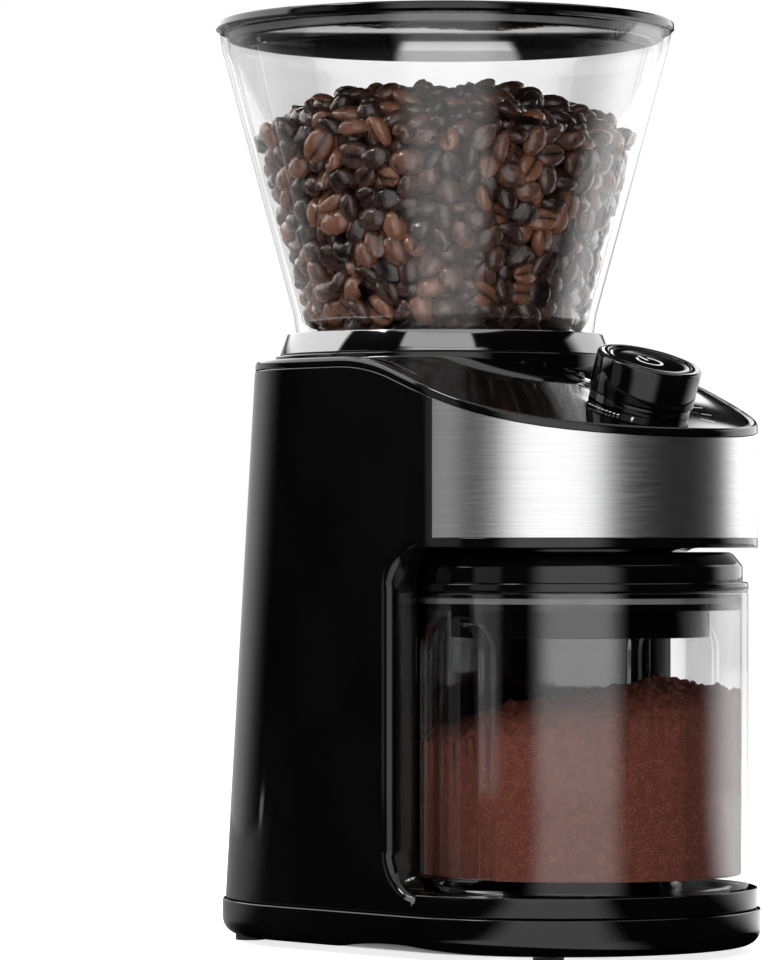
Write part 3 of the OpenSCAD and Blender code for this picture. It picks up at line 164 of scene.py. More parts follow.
softbox("back_low_card", (171.5, 179.5), (0.27, 0.62), 1.6, reaches=(0.994, 0.994))
softbox("back_wedge", (172.4, 176.5), (0.5, 0.7), 0.7, sides=(0.25, 0.25), reaches=(0.998, 0.998))
softbox("back_right_card", (160, 168.7), (0.45, 0.74), 2.6, sides=(0.12, 0.12), rim=0.04,
        reaches=(0.996, 0.996))

sheet_height = 0.0015
for name, turns, glow, sides in (
        ("front_sheet", (-37, 32), 1.2, (0.25, 0.25)),
        ("left_sheet", (-196, -100), 0.35, (0.25, 0.25)),
        ("right_sheet", (88, 168), 1.5, (0.5, 0.1))):
    only_in_reflections(softbox(
        name, turns, (sheet_height, sheet_height), glow, sides=sides, rim=0.001, reaches=(0.07, 0.98)))

felt_cloth = bare_finish("black_felt")
felt_fibre = node(felt_cloth, "TexNoise", {"Scale": 300.0})
felt_tone = node(felt_cloth, "MapRange", {"Value": felt_fibre.outputs[0], "To Min": 0.0, "To Max": 0.004})
felt_cover = node(felt_cloth, "BsdfDiffuse", {"Color": felt_tone.outputs[0]})
node(felt_cloth, "OutputMaterial", {"Surface": felt_cover.outputs[0]})
felt_height = 0.001
felt = bmesh.new()
ring_patch(felt, (0, 360), (felt_height, 1.6), (1.35, 1.35), steps=72)
for turns, far in (((24, 96), 1.36), ((-110, -32), 1.36), ((-32, 24), 0.5), ((96, 250), 0.5)):
    ring_patch(felt, turns, (felt_height, felt_height), (0.06, far))
only_in_reflections(stage_mesh("black_felt", felt, felt_cloth))

floor_paint = bare_finish("floor_paint")
floor_speck = node(floor_paint, "TexNoise", {"Scale": 40.0, "Detail": 3.0})
floor_tone = node(floor_paint, "MapRange", {"Value": floor_speck.outputs[0], "To Min": 0.8, "To Max": 0.83})
floor_coat = node(floor_paint, "BsdfDiffuse", {"Color": floor_tone.outputs[0]})
floor_glow = node(floor_paint, "Emission", {"Strength": 0.8})
floor_sum = node(floor_paint, "AddShader", {0: floor_coat.outputs[0], 1: floor_glow.outputs[0]})
floor_mix = node(floor_paint, "MixShader", {
    0: seen_directly(floor_paint), 1: floor_coat.outputs[0], 2: floor_sum.outputs[0]})
node(floor_paint, "OutputMaterial", {"Surface": floor_mix.outputs[0]})
ground = bmesh.new()
bmesh.ops.create_circle(ground, cap_ends=True, segments=96, radius=12)
stage_mesh("floor", ground, floor_paint)

room = bpy.data.worlds.new("white_room")
bpy.context.scene.world = room
room.use_nodes = True
room.node_tree.nodes.clear()
room_level = node(room, "MapRange", {"Value": seen_directly(room), "To Min": 0.3, "To Max": 1.0})
room_air = node(room, "Background", {"Color": (1, 1, 1, 1), "Strength": room_level.outputs[0]})
node(room, "OutputWorld", {"Surface": room_air.outputs[0]})

# ---- Feet and base
# Four rubber feet under a moulded black base, held by screws from below. The base's side
# is glossy and its lower edge is rounded.


def grain(finish, scale, detail=3.0, stretch=(1, 1, 1)):
    """Noise fixed to the piece, drawn out along an axis by a small stretch."""
    place = node(finish, "TexCoord")
    fitted = node(finish, "Mapping", {"Vector": place.outputs["Object"], "Scale": stretch})
    noisy = node(finish, "TexNoise", {"Vector": fitted.outputs[0], "Scale": scale, "Detail": detail})
    return noisy.outputs[0]


def between(finish, value, low, high):
    """Spreads the middle of a noise over a range."""
    return node(finish, "MapRange", {
        "Value": value, "From Min": 0.3, "From Max": 0.7, "To Min": low, "To Max": high}).outputs[0]


def ramp(finish, value, *stops):
    """Colours a value by stops of (position, colour), first the two ends and then what lies between."""
    made = node(finish, "ValToRGB", {"Fac": value})
    stretch = made.color_ramp.elements
    for held, (position, _) in zip(list(stretch), stops):
        held.position = position
    for position, _ in stops[2:]:
        stretch.new(position)
    for held, (_, colour) in zip(stretch, sorted(stops)):
        held.color = (*colour, 1)
    return made.outputs[0]


def covered(name, metallic=0.0):
    """A new finish and its principled shader."""
    finish = bpy.data.materials.new(name)
    finish.use_nodes = True
    cover = finish.node_tree.nodes["Principled BSDF"]
    cover.inputs["Metallic"].default_value = metallic
    return finish, cover


def feed(finish, shader, **sources):
    """Links outputs to a shader's inputs; an underscore stands for the space in an input's name."""
    for socket, source in sources.items():
        finish.node_tree.links.new(source, shader.inputs[socket.replace("_", " ")])


def moulding(name, dark, light, rough, scale=60.0, relief=0.0, relief_scale=400.0, metallic=0.0,
             stretch=(1, 1, 1)):
    """A finish whose colour and roughness drift a little, over a fine relief in metres."""
    finish, cover = covered(name, metallic)
    cloud = grain(finish, scale, stretch=stretch)
    wear = grain(finish, scale * 0.6, stretch=stretch)
    feed(finish, cover, Base_Color=ramp(finish, cloud, (0.3, dark), (0.7, light)),
         Roughness=between(finish, wear, *rough))
    if relief:
        fine = grain(finish, relief_scale, stretch=stretch)
        feed(finish, cover, Normal=node(
            finish, "Bump", {"Height": fine, "Distance": relief, "Strength": 1.0}).outputs[0])
    return finish


def coat(finish, *names):
    """Gives CAD nodes a finish, in the material slots they came with."""
    for name in names:
        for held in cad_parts[name].material_slots:
            held.material = finish


MM = 0.001
ALL_ROUND = 180


def mesh_piece(name, bm, finish, body, slot, *stands_for, sharp=38):
    """Makes a finished piece, smooth but for edges sharper than so many degrees, riding on its body.

    With ALL_ROUND each corner's normal leans to its larger faces, so big flat faces stay flat."""
    for face in bm.faces:
        face.smooth = True
    for edge in bm.edges:
        edge.smooth = len(edge.link_faces) == 2 and edge.calc_face_angle(0) < math.radians(sharp)
    normals = None
    if sharp == ALL_ROUND:
        normals = [sum((f.normal * f.calc_area() for f in v.link_faces), Vector()).normalized()
                   for v in bm.verts]
    made = mesh_object(name, bm, finish, normals)
    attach(made, body)
    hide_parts(*stands_for)
    return made


def softened(name, source, radius, finish, body, slot, sharp=35):
    """A moulding's own mesh with its sharp edges rounded."""
    bm = bmesh.new()
    bm.from_mesh(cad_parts[source].data)
    bmesh.ops.remove_doubles(bm, verts=bm.verts, dist=2e-6)
    bmesh.ops.dissolve_limit(bm, angle_limit=math.radians(0.4), verts=bm.verts, edges=bm.edges)
    corners = [e for e in bm.edges if len(e.link_faces) == 2 and e.calc_face_angle(0) > math.radians(sharp)]
    bmesh.ops.bevel(bm, geom=corners, offset=radius * MM, segments=2, profile=0.5, affect="EDGES",
                    material=-1, clamp_overlap=False)
    return mesh_piece(name, bm, finish, body, slot, source, sharp=ALL_ROUND)


deep_black = ((0.0015, 0.0015, 0.0016), (0.0035, 0.0035, 0.0037))
black_gloss = moulding("black_gloss", *deep_black, (0.05, 0.085), 25.0)
black_matte = moulding("black_matte", (0.012, 0.012, 0.013), (0.022, 0.022, 0.023), (0.45, 0.6), 90.0,
                       relief=0.00002, relief_scale=1800.0)
rubber = moulding("rubber", (0.018, 0.018, 0.018), (0.032, 0.032, 0.032), (0.65, 0.8), 120.0,
                  relief=0.00003, relief_scale=2500.0)
screw_steel = moulding("screw_steel", (0.5, 0.5, 0.51), (0.66, 0.66, 0.67), (0.2, 0.34), 300.0,
                       relief=0.000004, relief_scale=2000.0, metallic=1.0)
coat(rubber, "feet", "cord_inlet")
softened("base_shell", "base_cover", 0.5, black_gloss, "stand", "black_gloss", sharp=50)
coat(screw_steel, "base_screws")

# ---- Housing
# One glossy black moulding: the column behind, the head above the bay and the floor of
# the bay. It is screwed to the base and carries everything else.

softened("housing_shell", "main_housing", 0.4, black_gloss, "stand", "black_gloss", sharp=50)

# ---- Steel band
# Thin stainless sheet bent round the front of the head, brushed along its length.

brushed_band, band_cover = covered("brushed_band", metallic=1.0)
band_cover.inputs["Anisotropic"].default_value = 0.8
long_strokes = grain(brushed_band, 1.0, 4.0, (25, 25, 2600))
short_strokes = grain(brushed_band, 1.0, 2.0, (90, 90, 5200))
scored = node(brushed_band, "Bump", {"Height": short_strokes, "Distance": 0.000001, "Strength": 1.0})
along_band = node(brushed_band, "Tangent", direction_type="RADIAL", axis="Z")
feed(brushed_band, band_cover,
     Base_Color=ramp(brushed_band, long_strokes, (0.3, (0.7, 0.7, 0.705)), (0.7, (0.78, 0.78, 0.785))),
     Roughness=between(brushed_band, short_strokes, 0.2, 0.26), Normal=scored.outputs[0],
     Tangent=along_band.outputs[0])
coat(brushed_band, "steel_band")

# ---- Works inside the housing
# Motor, two gear stages, burrs, chamber, chute, switches and boards, each in its own finish.

burr_steel = moulding("burr_steel", (0.28, 0.28, 0.29), (0.42, 0.42, 0.43), (0.25, 0.42), 260.0,
                      relief=0.00001, relief_scale=1500.0, metallic=1.0)
white_nylon = moulding("white_nylon", (0.72, 0.71, 0.66), (0.82, 0.81, 0.77), (0.35, 0.5), 80.0,
                       relief=0.00001, relief_scale=1200.0)
turned_brass = moulding("turned_brass", (0.62, 0.42, 0.16), (0.76, 0.55, 0.24), (0.2, 0.34), 200.0,
                        relief=0.000004, relief_scale=1800.0, metallic=1.0)
laminations = moulding("laminations", (0.2, 0.2, 0.21), (0.36, 0.36, 0.37), (0.35, 0.5), 1.0,
                       relief=0.00002, relief_scale=1.0, metallic=1.0, stretch=(20, 20, 2200))
motor_steel = moulding("motor_steel", (0.42, 0.43, 0.44), (0.55, 0.56, 0.56), (0.3, 0.44), 90.0,
                       relief=0.000006, relief_scale=900.0, metallic=1.0)
ferrite = moulding("ferrite", (0.03, 0.03, 0.032), (0.06, 0.06, 0.062), (0.6, 0.75), 300.0,
                   relief=0.00002, relief_scale=1500.0)
circuit_board = moulding("circuit_board", (0.01, 0.09, 0.035), (0.02, 0.15, 0.06), (0.3, 0.42), 150.0,
                         relief=0.00001, relief_scale=700.0)
seal_rubber = moulding("seal_rubber", (0.16, 0.16, 0.165), (0.22, 0.22, 0.225), (0.55, 0.7), 120.0,
                       relief=0.00002, relief_scale=1500.0)
coat(screw_steel, "cover_screws", "burr_screws", "burr_nut", "burr_shaft", "idler_pin", "motor_shaft",
     "motor_screws", "gearbox_screws")
coat(burr_steel, "ring_burr", "cone_burr")
coat(white_nylon, "drive_gear", "idler_gear", "cooling_fan")
coat(turned_brass, "motor_pinion", "lower_bush", "upper_bush")
coat(laminations, "armature")
coat(motor_steel, "motor_can")
coat(ferrite, "motor_magnets")
coat(circuit_board, "control_board", "driver_board")
coat(seal_rubber, "lid_seal", "container_seal")
coat(black_matte, "adjust_sleeve", "burr_carrier", "sweeper", "brush_card", "gearbox_plate", "gearbox_case",
     "grinding_chamber", "grounds_chute", "container_switch", "timer_dial_switch")

# ---- Top cover
# A glossy skin that drops onto the housing. A bead follows its falling side edge, the
# flanks rise to a flat seat for the grind collar, and a sloping panel runs to the front.

axis_y = 19.2727
half_width = 59.0
back_reach = 2.5
nose_reach = 50.0
rear_height = 172.3
fall_start = 18
fall_radius = 72
fall_slope = math.radians(19.3)
front_height = 150.8
tip_reach = 109
tip_slope = math.radians(5.7)
bend_end = fall_start + fall_radius * math.sin(fall_slope)
bend_end_height = rear_height - fall_radius * (1 - math.cos(fall_slope))
tip_rise = math.tan((fall_slope + tip_slope) / 2)
sweep_start = ((bend_end_height + math.tan(fall_slope) * bend_end - front_height - tip_rise * tip_reach)
               / (math.tan(fall_slope) - tip_rise))
sweep_radius = (tip_reach - sweep_start) / (math.sin(fall_slope) - math.sin(tip_slope))

cover_top = 175.2
cover_gap = 0.3
bead_height = 2.8
bead_width = 2.5
flank_rise = math.tan(math.radians(18.3))
flank_blend = 0.35
panel_start = 43.5
panel_slope = math.radians(19.5)
panel_blend = 0.8
flat_depth = 4.2
seat_radius = 51.45
seat_floor = 171.3
skirt_depth = 2.8
skirt_drop = 1.6


def edge_height(reach):
    """Height in mm of the housing's side edge, so many mm forward of the grinding axis."""
    if reach <= fall_start:
        return rear_height
    if reach <= bend_end:
        return rear_height - fall_radius + math.sqrt(fall_radius ** 2 - (reach - fall_start) ** 2)
    if reach <= sweep_start:
        return bend_end_height - math.tan(fall_slope) * (reach - bend_end)
    from_centre = tip_reach + sweep_radius * math.sin(tip_slope) - reach
    return front_height + sweep_radius * math.cos(tip_slope) - math.sqrt(sweep_radius ** 2 - from_centre ** 2)


def from_edge(co):
    """Depth in mm inside the cover's outline, the reach of that outline point, the way in."""
    reach = axis_y - co.y / MM
    spine = min(max(reach, back_reach), nose_reach)
    away = Vector((co.x / MM, spine - reach, 0))
    out = away.normalized()
    return half_width - away.length, spine - half_width * out.y, -out


def soft_step(value, width):
    """A smooth version of max(value, 0), rounded over about the width."""
    return width * math.log1p(math.exp(-abs(value) / width)) + max(value, 0.0)


def cover_height(co):
    """Height in mm of the flank or of the flat top and panel, whichever is lower."""
    depth, outline_reach, _ = from_edge(co)
    flank = edge_height(outline_reach) + bead_height + (depth - bead_width) * flank_rise
    crown = cover_top - soft_step(axis_y - co.y / MM - panel_start, panel_blend) * math.tan(panel_slope)
    return flank - soft_step(flank - crown, flank_blend)


def pull_ring(bm, loop, depth, height):
    """Draws a new ring of faces inward to a depth, at the height that a rule gives."""
    drawn = bmesh.ops.extrude_edge_only(bm, edges=loop)["geom"]
    for v in drawn:
        if isinstance(v, bmesh.types.BMVert):
            now, outline_reach, inward = from_edge(v.co)
            v.co += inward * (depth - now) * MM
            v.co.z = height(v.co, outline_reach) * MM
    return [e for e in drawn if isinstance(e, bmesh.types.BMEdge)]


cover = bmesh.new()
bmesh.ops.create_circle(cover, segments=240, radius=half_width * MM)
bmesh.ops.rotate(cover, matrix=Matrix.Rotation(math.radians(0.75), 3, "Z"), verts=cover.verts)
for v in cover.verts:
    v.co.y += (axis_y - (back_reach if v.co.y > 0 else nose_reach)) * MM
straights = [e for e in cover.edges if e.calc_length() > 0.02]
bmesh.ops.subdivide_edges(cover, edges=straights, cuts=20)
for v in cover.verts:
    v.co.z = (edge_height(from_edge(v.co)[1]) + cover_gap) * MM
outline_loop = cover.edges[:]

ring = outline_loop
bead_profile = (
    (0.0, 1.5), (0.06, 1.95), (0.25, 2.4), (0.55, 2.68), (0.95, 2.8),
    (1.45, 2.8), (1.9, 2.68), (2.2, 2.4), (2.4, 2.0), (2.5, 1.9))
for depth, lift in bead_profile:
    ring = pull_ring(cover, ring, depth, lambda co, reach: edge_height(reach) + lift)
for depth in (2.58, 2.75, 3.1, 3.6, 4.1):
    ring = pull_ring(cover, ring, depth, lambda co, reach: cover_height(co))

seat = bmesh.ops.create_circle(cover, segments=280, radius=seat_radius * MM)["verts"]
bmesh.ops.translate(cover, vec=(0, axis_y * MM, cover_top * MM), verts=seat)
seat_loop = [e for e in cover.edges if all(v in seat for v in e.verts)]
spokes = bmesh.ops.bridge_loops(cover, edges=ring + seat_loop)["edges"]
bmesh.ops.subdivide_edges(cover, edges=spokes, cuts=46, use_grid_fill=True)
for v in cover.verts:
    if from_edge(v.co)[0] > flat_depth:
        v.co.z = cover_height(v.co) * MM

axis_point = Vector((0, axis_y * MM))
seat_loop = [e for e in cover.edges
             if e.is_boundary and (e.verts[0].co.xy - axis_point).length < (seat_radius + 0.15) * MM]
well = bmesh.ops.extrude_edge_only(cover, edges=seat_loop)["geom"]
for v in well:
    if isinstance(v, bmesh.types.BMVert):
        v.co.z = seat_floor * MM
well_loop = [e for e in well if isinstance(e, bmesh.types.BMEdge)]
skirt = pull_ring(cover, outline_loop, skirt_depth, lambda co, reach: edge_height(reach) + cover_gap)
skirt = pull_ring(cover, skirt, skirt_depth, lambda co, reach: edge_height(reach) - skirt_drop)
bmesh.ops.bridge_loops(cover, edges=skirt + well_loop)
bmesh.ops.recalc_face_normals(cover, faces=cover.faces)
mesh_piece("cover_skin", cover, black_gloss, "stand", "black_gloss", "top_cover", sharp=42)

# ---- Scale ring and grind collar
# A fixed ring lies in the cover's seat. The collar above it turns to set the grind, carries
# the hopper and tapers a little towards its top.


def turned(outline, centre=(0.0, axis_y), steps=160):
    """Spins a half profile of (radius, height, rounding) in mm round an upright axis."""
    bm = bmesh.new()
    corners = [bm.verts.new((radius * MM, 0, height * MM)) for radius, height, _ in outline]
    for a, b in zip(corners, corners[1:] + corners[:1]):
        if a.co.x > 0 or b.co.x > 0:
            bm.edges.new((a, b))
    for corner, (_, _, rounding) in zip(corners, outline):
        if rounding:
            bmesh.ops.bevel(bm, geom=[corner], offset=rounding * MM, offset_type="OFFSET", segments=4,
                            profile=0.5, affect="VERTICES", material=-1)
    bmesh.ops.spin(bm, geom=bm.verts[:] + bm.edges[:], cent=(0, 0, 0), axis=(0, 0, 1), angle=math.tau,
                   steps=steps, use_merge=True)
    bmesh.ops.remove_doubles(bm, verts=bm.verts, dist=1e-6)
    bmesh.ops.recalc_face_normals(bm, faces=bm.faces)
    bmesh.ops.translate(bm, vec=(centre[0] * MM, centre[1] * MM, 0), verts=bm.verts)
    return bm


collar_gloss = moulding("collar_gloss", *deep_black, (0.05, 0.075), 25.0)
collar_gloss.node_tree.nodes["Principled BSDF"].inputs["IOR"].default_value = 2.9
mesh_piece("fixed_scale_ring", turned([
    (46.1, seat_floor, 0), (51.3, seat_floor, 0), (51.3, 176.7, 0.4), (46.1, 176.7, 0)]),
    black_gloss, "stand", "black_gloss", "scale_ring")
mesh_piece("turning_collar", turned([
    (45.75, 177, 0), (50, 177, 0.35), (47.7, 183.5, 0.35), (43.3, 183.5, 0), (43.3, 181.5, 0),
    (45.75, 181.5, 0)]), collar_gloss, "grind_ring", "black_gloss", "grind_collar")

# ---- Bean hopper
# One clear moulding: a cone that widens upward to an upright rim band, on a thick foot,
# with a funnel floor and a lugged spigot that locks in the collar.


def clear_moulding(name, edge_alpha):
    """Clear plastic seen as its reflections: almost nothing face on, with a painted grey shade along its
    outline.
    """
    finish, cover = covered(name, metallic=1.0)
    slant = node(finish, "LayerWeight", {"Blend": 0.5}).outputs["Facing"]
    mirror = node(finish, "Fresnel", {"IOR": 1.5}).outputs[0]
    face_on = node(finish, "MapRange", {
        "Value": mirror, "From Min": 0.04, "From Max": 0.55, "To Min": 0.038, "To Max": edge_alpha})
    # Painted shade: a grey outline where the wall turns away, standing in for the dark edges that refraction
    # draws on thick clear walls.
    outline = node(finish, "MapRange", {"Value": slant, "From Min": 0.86, "From Max": 0.985, "To Max": 0.35})
    held = node(finish, "Math", {0: face_on.outputs[0], 1: outline.outputs[0]}, operation="ADD")
    feed(finish, cover, Alpha=held.outputs[0], Roughness=between(finish, grain(finish, 14.0, 1.0), 0.03, 0.05),
         Base_Color=ramp(finish, slant, (0.75, (0.93, 0.93, 0.93)), (0.97, (0.22, 0.22, 0.22))))
    return finish


cone_foot = 189.5
cone_top = 267.8
cone_foot_radius = 43.7
cone_spread = 0.272
funnel_radius = 19
funnel_floor = 174
clear_plastic = clear_moulding("clear_plastic", 0.24)
mesh_piece("clear_hopper", turned([
    (43, 168, 0), (43, 183.5, 0), (45, 183.5, 0.3), (45.8, cone_foot, 0.8), (67, cone_top, 0),
    (67.4, 268.5, 0), (68.6, 275, 0.3), (66.6, 275, 0.3), (65.4, 268.5, 0.5), (65, cone_top, 0),
    (cone_foot_radius, cone_foot, 0.8), (43.2, 187.3, 0.8), (funnel_radius, funnel_floor, 0.5),
    (funnel_radius, 168, 0), (21, 168, 0), (21, 172.9, 0), (41, 182, 0.5), (41, 168, 0)]),
    clear_plastic, "hopper", "clear_plastic", "bean_hopper")

# ---- Coffee beans
# Roasted beans heaped in the hopper: two rounded lobes with a crease along the flatter
# side, the crease painted dark as shade. They lie loose in it and travel with it.

bean_count = 1100
heap_shell = 12.0
settle_rounds = 60
heap_peak = 258.5


def packed_beans():
    """Settles bean centres in mm near the cone, the funnel floor or the top of the heap."""
    rng = np.random.default_rng(7)

    def depths(places):
        x, y, z = places.T
        radius = np.hypot(x, y)
        wall = (cone_foot_radius + cone_spread * (z - cone_foot) - radius) * 0.965
        swell = 3.0 * np.cos(2.1 * np.arctan2(y, x) + 0.6) + 2.0 * np.sin(x / 9.0) * np.cos(y / 11.0)
        top = heap_peak - 15.0 * np.clip((radius - 20) / 36, 0, 1.1) ** 1.4 + 0.7 * swell - z
        floor = (z - funnel_floor - np.clip(radius - funnel_radius, -9.0, 25.0) * 0.55) * 0.88
        return radius, wall, top, floor

    spots = np.empty((0, 3))
    while len(spots) < bean_count:
        tried = rng.uniform((-66, -66, 172), (66, 66, 266), (20000, 3))
        _, wall, top, floor = depths(tried)
        nearest = np.minimum(np.minimum(wall, top), floor)
        spots = np.vstack([spots, tried[(nearest > 3.4) & (nearest < heap_shell)]])[:bean_count]
    for _ in range(settle_rounds):
        apart = spots[:, None, :] - spots[None, :, :]
        gap = np.sqrt((apart ** 2).sum(2)) + 1e-6
        push = np.clip(8.2 - gap, 0, None)
        np.fill_diagonal(push, 0)
        spots = spots + 0.3 * ((push / gap)[:, :, None] * apart).sum(1)
        radius, wall, top, floor = depths(spots)
        out = spots[:, :2] / np.maximum(radius, 1.0)[:, None]
        spots[:, :2] -= out * np.clip(4.0 - wall, 0, None)[:, None]
        spots[:, 2] -= np.clip(3.2 - top, 0, None)
        spots[:, 2] += np.clip(3.7 - floor, 0, None)
        _, wall, top, floor = depths(spots)
        buried = np.clip(np.minimum(np.minimum(wall, top), floor) - heap_shell, 0, None)
        spots[:, :2] += out * buried[:, None]
    _, wall, top, _ = depths(spots)
    return rng, spots, wall, top


def bean_shape(bm):
    """One bean in mm: long axis X, crease along the middle of its flatter side at -Z."""
    crease = bm.verts.layers.float.new("crease")
    corners = bmesh.ops.create_uvsphere(bm, u_segments=10, v_segments=7, radius=1)["verts"]
    bmesh.ops.rotate(bm, matrix=Matrix.Rotation(math.radians(90), 3, "Y"), verts=corners)
    turn_flat = Matrix.Rotation(math.radians(90), 3, "X")
    for v in corners:
        v.co = turn_flat @ v.co
        middle = v.co.z < -0.3 and abs(v.co.y) < 0.08
        v[crease] = 1.0 if middle else 0.0
        v.co.x *= 5.2 - 0.3 * v.co.z
        v.co.y *= 3.95
        v.co.z *= 3.2 if v.co.z > 0 else 2.5
        if middle:
            v.co.z += 1.1
    return [v[crease] for v in bm.verts]


rng, spots, wall_gaps, top_gaps = packed_beans()
template = bmesh.new()
bean_creases = bean_shape(template)
one_bean = bpy.data.meshes.new("one_bean")
template.to_mesh(one_bean)
template.free()
heap = bmesh.new()
crease = heap.verts.layers.float.new("crease")
roast = heap.verts.layers.float.new("roast")
for spot, by_wall, by_top in zip(spots, wall_gaps, top_gaps):
    start = len(heap.verts)
    heap.from_mesh(one_bean)
    heap.verts.ensure_lookup_table()
    outward = Vector((spot[0], spot[1], 0)).normalized() if by_wall < by_top else Vector((0, 0, 1))
    face = 1 if rng.random() < 0.45 else -1
    lean = (outward * face + Vector(rng.normal(0, 0.42, 3))).normalized()
    laid = lean.to_track_quat("Z", "X").to_matrix() @ Matrix.Rotation(rng.uniform(0, math.tau), 3, "Z")
    size = rng.uniform(0.86, 1.14)
    tone = 0.45 + 0.5 * rng.uniform(-1, 1) * rng.random() ** 0.5
    for v, in_crease in zip(heap.verts[start:], bean_creases):
        v.co = laid @ (v.co * size) + Vector(spot)
        wall_here = 44.2 + cone_spread * (v.co.z - cone_foot) - 0.9
        room_left = min(wall_here, 66) / max(v.co.xy.length, 1)
        if room_left < 1 and v.co.z > 187:
            v.co.xy *= room_left
        v.co = v.co * MM + Vector((0, axis_y * MM, 0))
        v[roast] = tone
        v[crease] = in_crease
bpy.data.meshes.remove(one_bean)

roasted, skin = covered("roasted_bean")
skin.inputs["Coat Weight"].default_value = 0.8
skin.inputs["Coat Roughness"].default_value = 0.11
own_tone = node(roasted, "Attribute", attribute_name="roast").outputs["Fac"]
mottle = grain(roasted, 330.0, 4.0)
mixed = node(roasted, "Math", {0: mottle, 1: 0.55, 2: own_tone}, operation="MULTIPLY_ADD").outputs[0]
tones = ramp(roasted, mixed, (0.3, (0.01, 0.005, 0.0045)), (1.3 / 1.35, (0.29, 0.125, 0.072)),
             (0.72, (0.08, 0.038, 0.029)))
# Painted shade: the crease is coloured near black, standing in for the shadow in the groove.
in_crease = node(roasted, "Attribute", attribute_name="crease").outputs["Fac"]
crease_shade_weight = node(roasted, "Math", {0: in_crease, 1: 3.0}, operation="POWER").outputs[0]
crease_painted_shade = node(roasted, "Mix", {"Factor": crease_shade_weight, "A": tones}, data_type="RGBA")
crease_painted_shade.inputs["B"].default_value = (0.006, 0.003, 0.002, 1)
wrinkles = node(roasted, "Bump", {"Height": grain(roasted, 900.0, 5.0), "Distance": 0.00025, "Strength": 1.0})
feed(roasted, skin, Base_Color=crease_painted_shade.outputs["Result"], Normal=wrinkles.outputs[0],
     Roughness=between(roasted, grain(roasted, 500.0), 0.2, 0.34))


def loose_fill(name, bm, finish, body):
    """Contents that travel with the piece that holds them, with no solid of their own."""
    for face in bm.faces:
        face.smooth = True
    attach(mesh_object(name, bm, finish), body)


loose_fill("coffee_beans", heap, roasted, "hopper")

# ---- Hopper lid
# A glossy black disc that drops into the rim: a flange on top, a skirt with a soft seal
# below, and a finger bar across a shallow dish.

lid = turned([
    (0, 272, 0), (62.9, 272, 0.5), (62.9, 275, 0), (68.7, 275, 0), (69.4, 275.7, 0), (69.4, 278, 1.0),
    (60.9, 278, 0.5), (58.9, 274.2, 0.8), (0, 274.2, 0)])
bar = bmesh.ops.create_cube(lid, size=1)["verts"]
bmesh.ops.scale(lid, vec=(55 * MM, 7 * MM, 4.6 * MM), verts=bar)
bmesh.ops.translate(lid, vec=(0, axis_y * MM, 275.4 * MM), verts=bar)
bar_edges = [e for e in lid.edges if all(v in bar for v in e.verts)]
uprights = [e for e in bar_edges if abs(e.verts[0].co.z - e.verts[1].co.z) > 2 * MM]
bmesh.ops.bevel(lid, geom=uprights, offset=3.4 * MM, segments=6, profile=0.5, affect="EDGES", material=-1)
mesh_piece("black_lid", lid, black_gloss, "lid", "black_gloss", "hopper_lid")

# ---- Knob plinth, knob and power button
# The selector knob stands square to the sloping panel on a low plinth, with the power
# button in its top. Printed white marks ring it.

knob_reach = 84.4
knob_foot = cover_top - (knob_reach - panel_start) * math.tan(panel_slope)
on_panel = (Matrix.Translation((0, (axis_y - knob_reach) * MM, knob_foot * MM))
            @ Matrix.Rotation(panel_slope, 4, "X"))
well_radius = 12.3
well_height = 10.9
button_radius = 12
button_edge = 13.65
button_dish = 0.37


def on_the_panel(bm):
    """Moves a mesh made upright at the origin to the knob's place, square to the panel."""
    bmesh.ops.transform(bm, matrix=on_panel, verts=bm.verts)
    return bm


mesh_piece("plinth", on_the_panel(turned([
    (4.7, 0.02, 0), (14.9, 0.02, 0), (14.9, 2.3, 0.3), (4.7, 2.3, 0)], (0, 0), 96)),
    black_gloss, "stand", "black_gloss", "knob_plinth")
mesh_piece("dial_knob", on_the_panel(turned([
    (0, 2.6, 0), (15.5, 2.6, 0.4), (15.5, 13.9, 1.0), (well_radius, 13.9, 0.3), (well_radius, well_height, 0),
    (0, well_height, 0)], (0, 0), 128)), black_gloss, "knob", "black_gloss", "selector_knob")
mesh_piece("push_button", on_the_panel(turned([
    (0, 12.15, 0), (button_radius, 12.15, 0), (button_radius, button_edge, 0.35), (9, 13.47, 0), (6, 13.36, 0),
    (3, 13.3, 0), (0, 13.28, 0)], (0, 0), 96)), black_gloss, "button", "black_gloss", "power_button")

print_with_painted_glow = moulding("print_with_painted_glow", (0.78, 0.78, 0.78), (0.88, 0.88, 0.88), (0.35, 0.5), 400.0)
print_cover = print_with_painted_glow.node_tree.nodes["Principled BSDF"]
# The print glows a little of its own: painted light, so that it reads white where the panel lies in shade.
print_cover.inputs["Emission Color"].default_value = (1, 1, 1, 1)
print_cover.inputs["Emission Strength"].default_value = 0.4
ring_width = 0.8
ring_turn = 296
ring_start = 90 + (360 - ring_turn) / 2
print_height = 13.31
symbol = bmesh.new()
ring_edge = [symbol.verts.new((radius * MM, 0, 0)) for radius in (3.3, 3.3 + ring_width)]
symbol.edges.new(ring_edge)
bmesh.ops.rotate(symbol, matrix=Matrix.Rotation(math.radians(ring_start), 3, "Z"), verts=ring_edge)
bmesh.ops.spin(symbol, geom=symbol.verts[:] + symbol.edges[:], cent=(0, 0, 0), axis=(0, 0, 1),
               angle=math.radians(ring_turn), steps=48)
stroke = bmesh.ops.create_grid(symbol, x_segments=1, y_segments=1, size=0.5)["verts"]
bmesh.ops.scale(symbol, vec=(ring_width * MM, 4.2 * MM, 1), verts=stroke)
bmesh.ops.translate(symbol, vec=(0, 2.9 * MM, 0), verts=stroke)
for v in symbol.verts:
    v.co.z = (print_height + button_dish * (v.co.xy.length / MM / button_radius) ** 2) * MM
mesh_piece("power_symbol", on_the_panel(symbol), print_with_painted_glow, "button", "black_gloss")

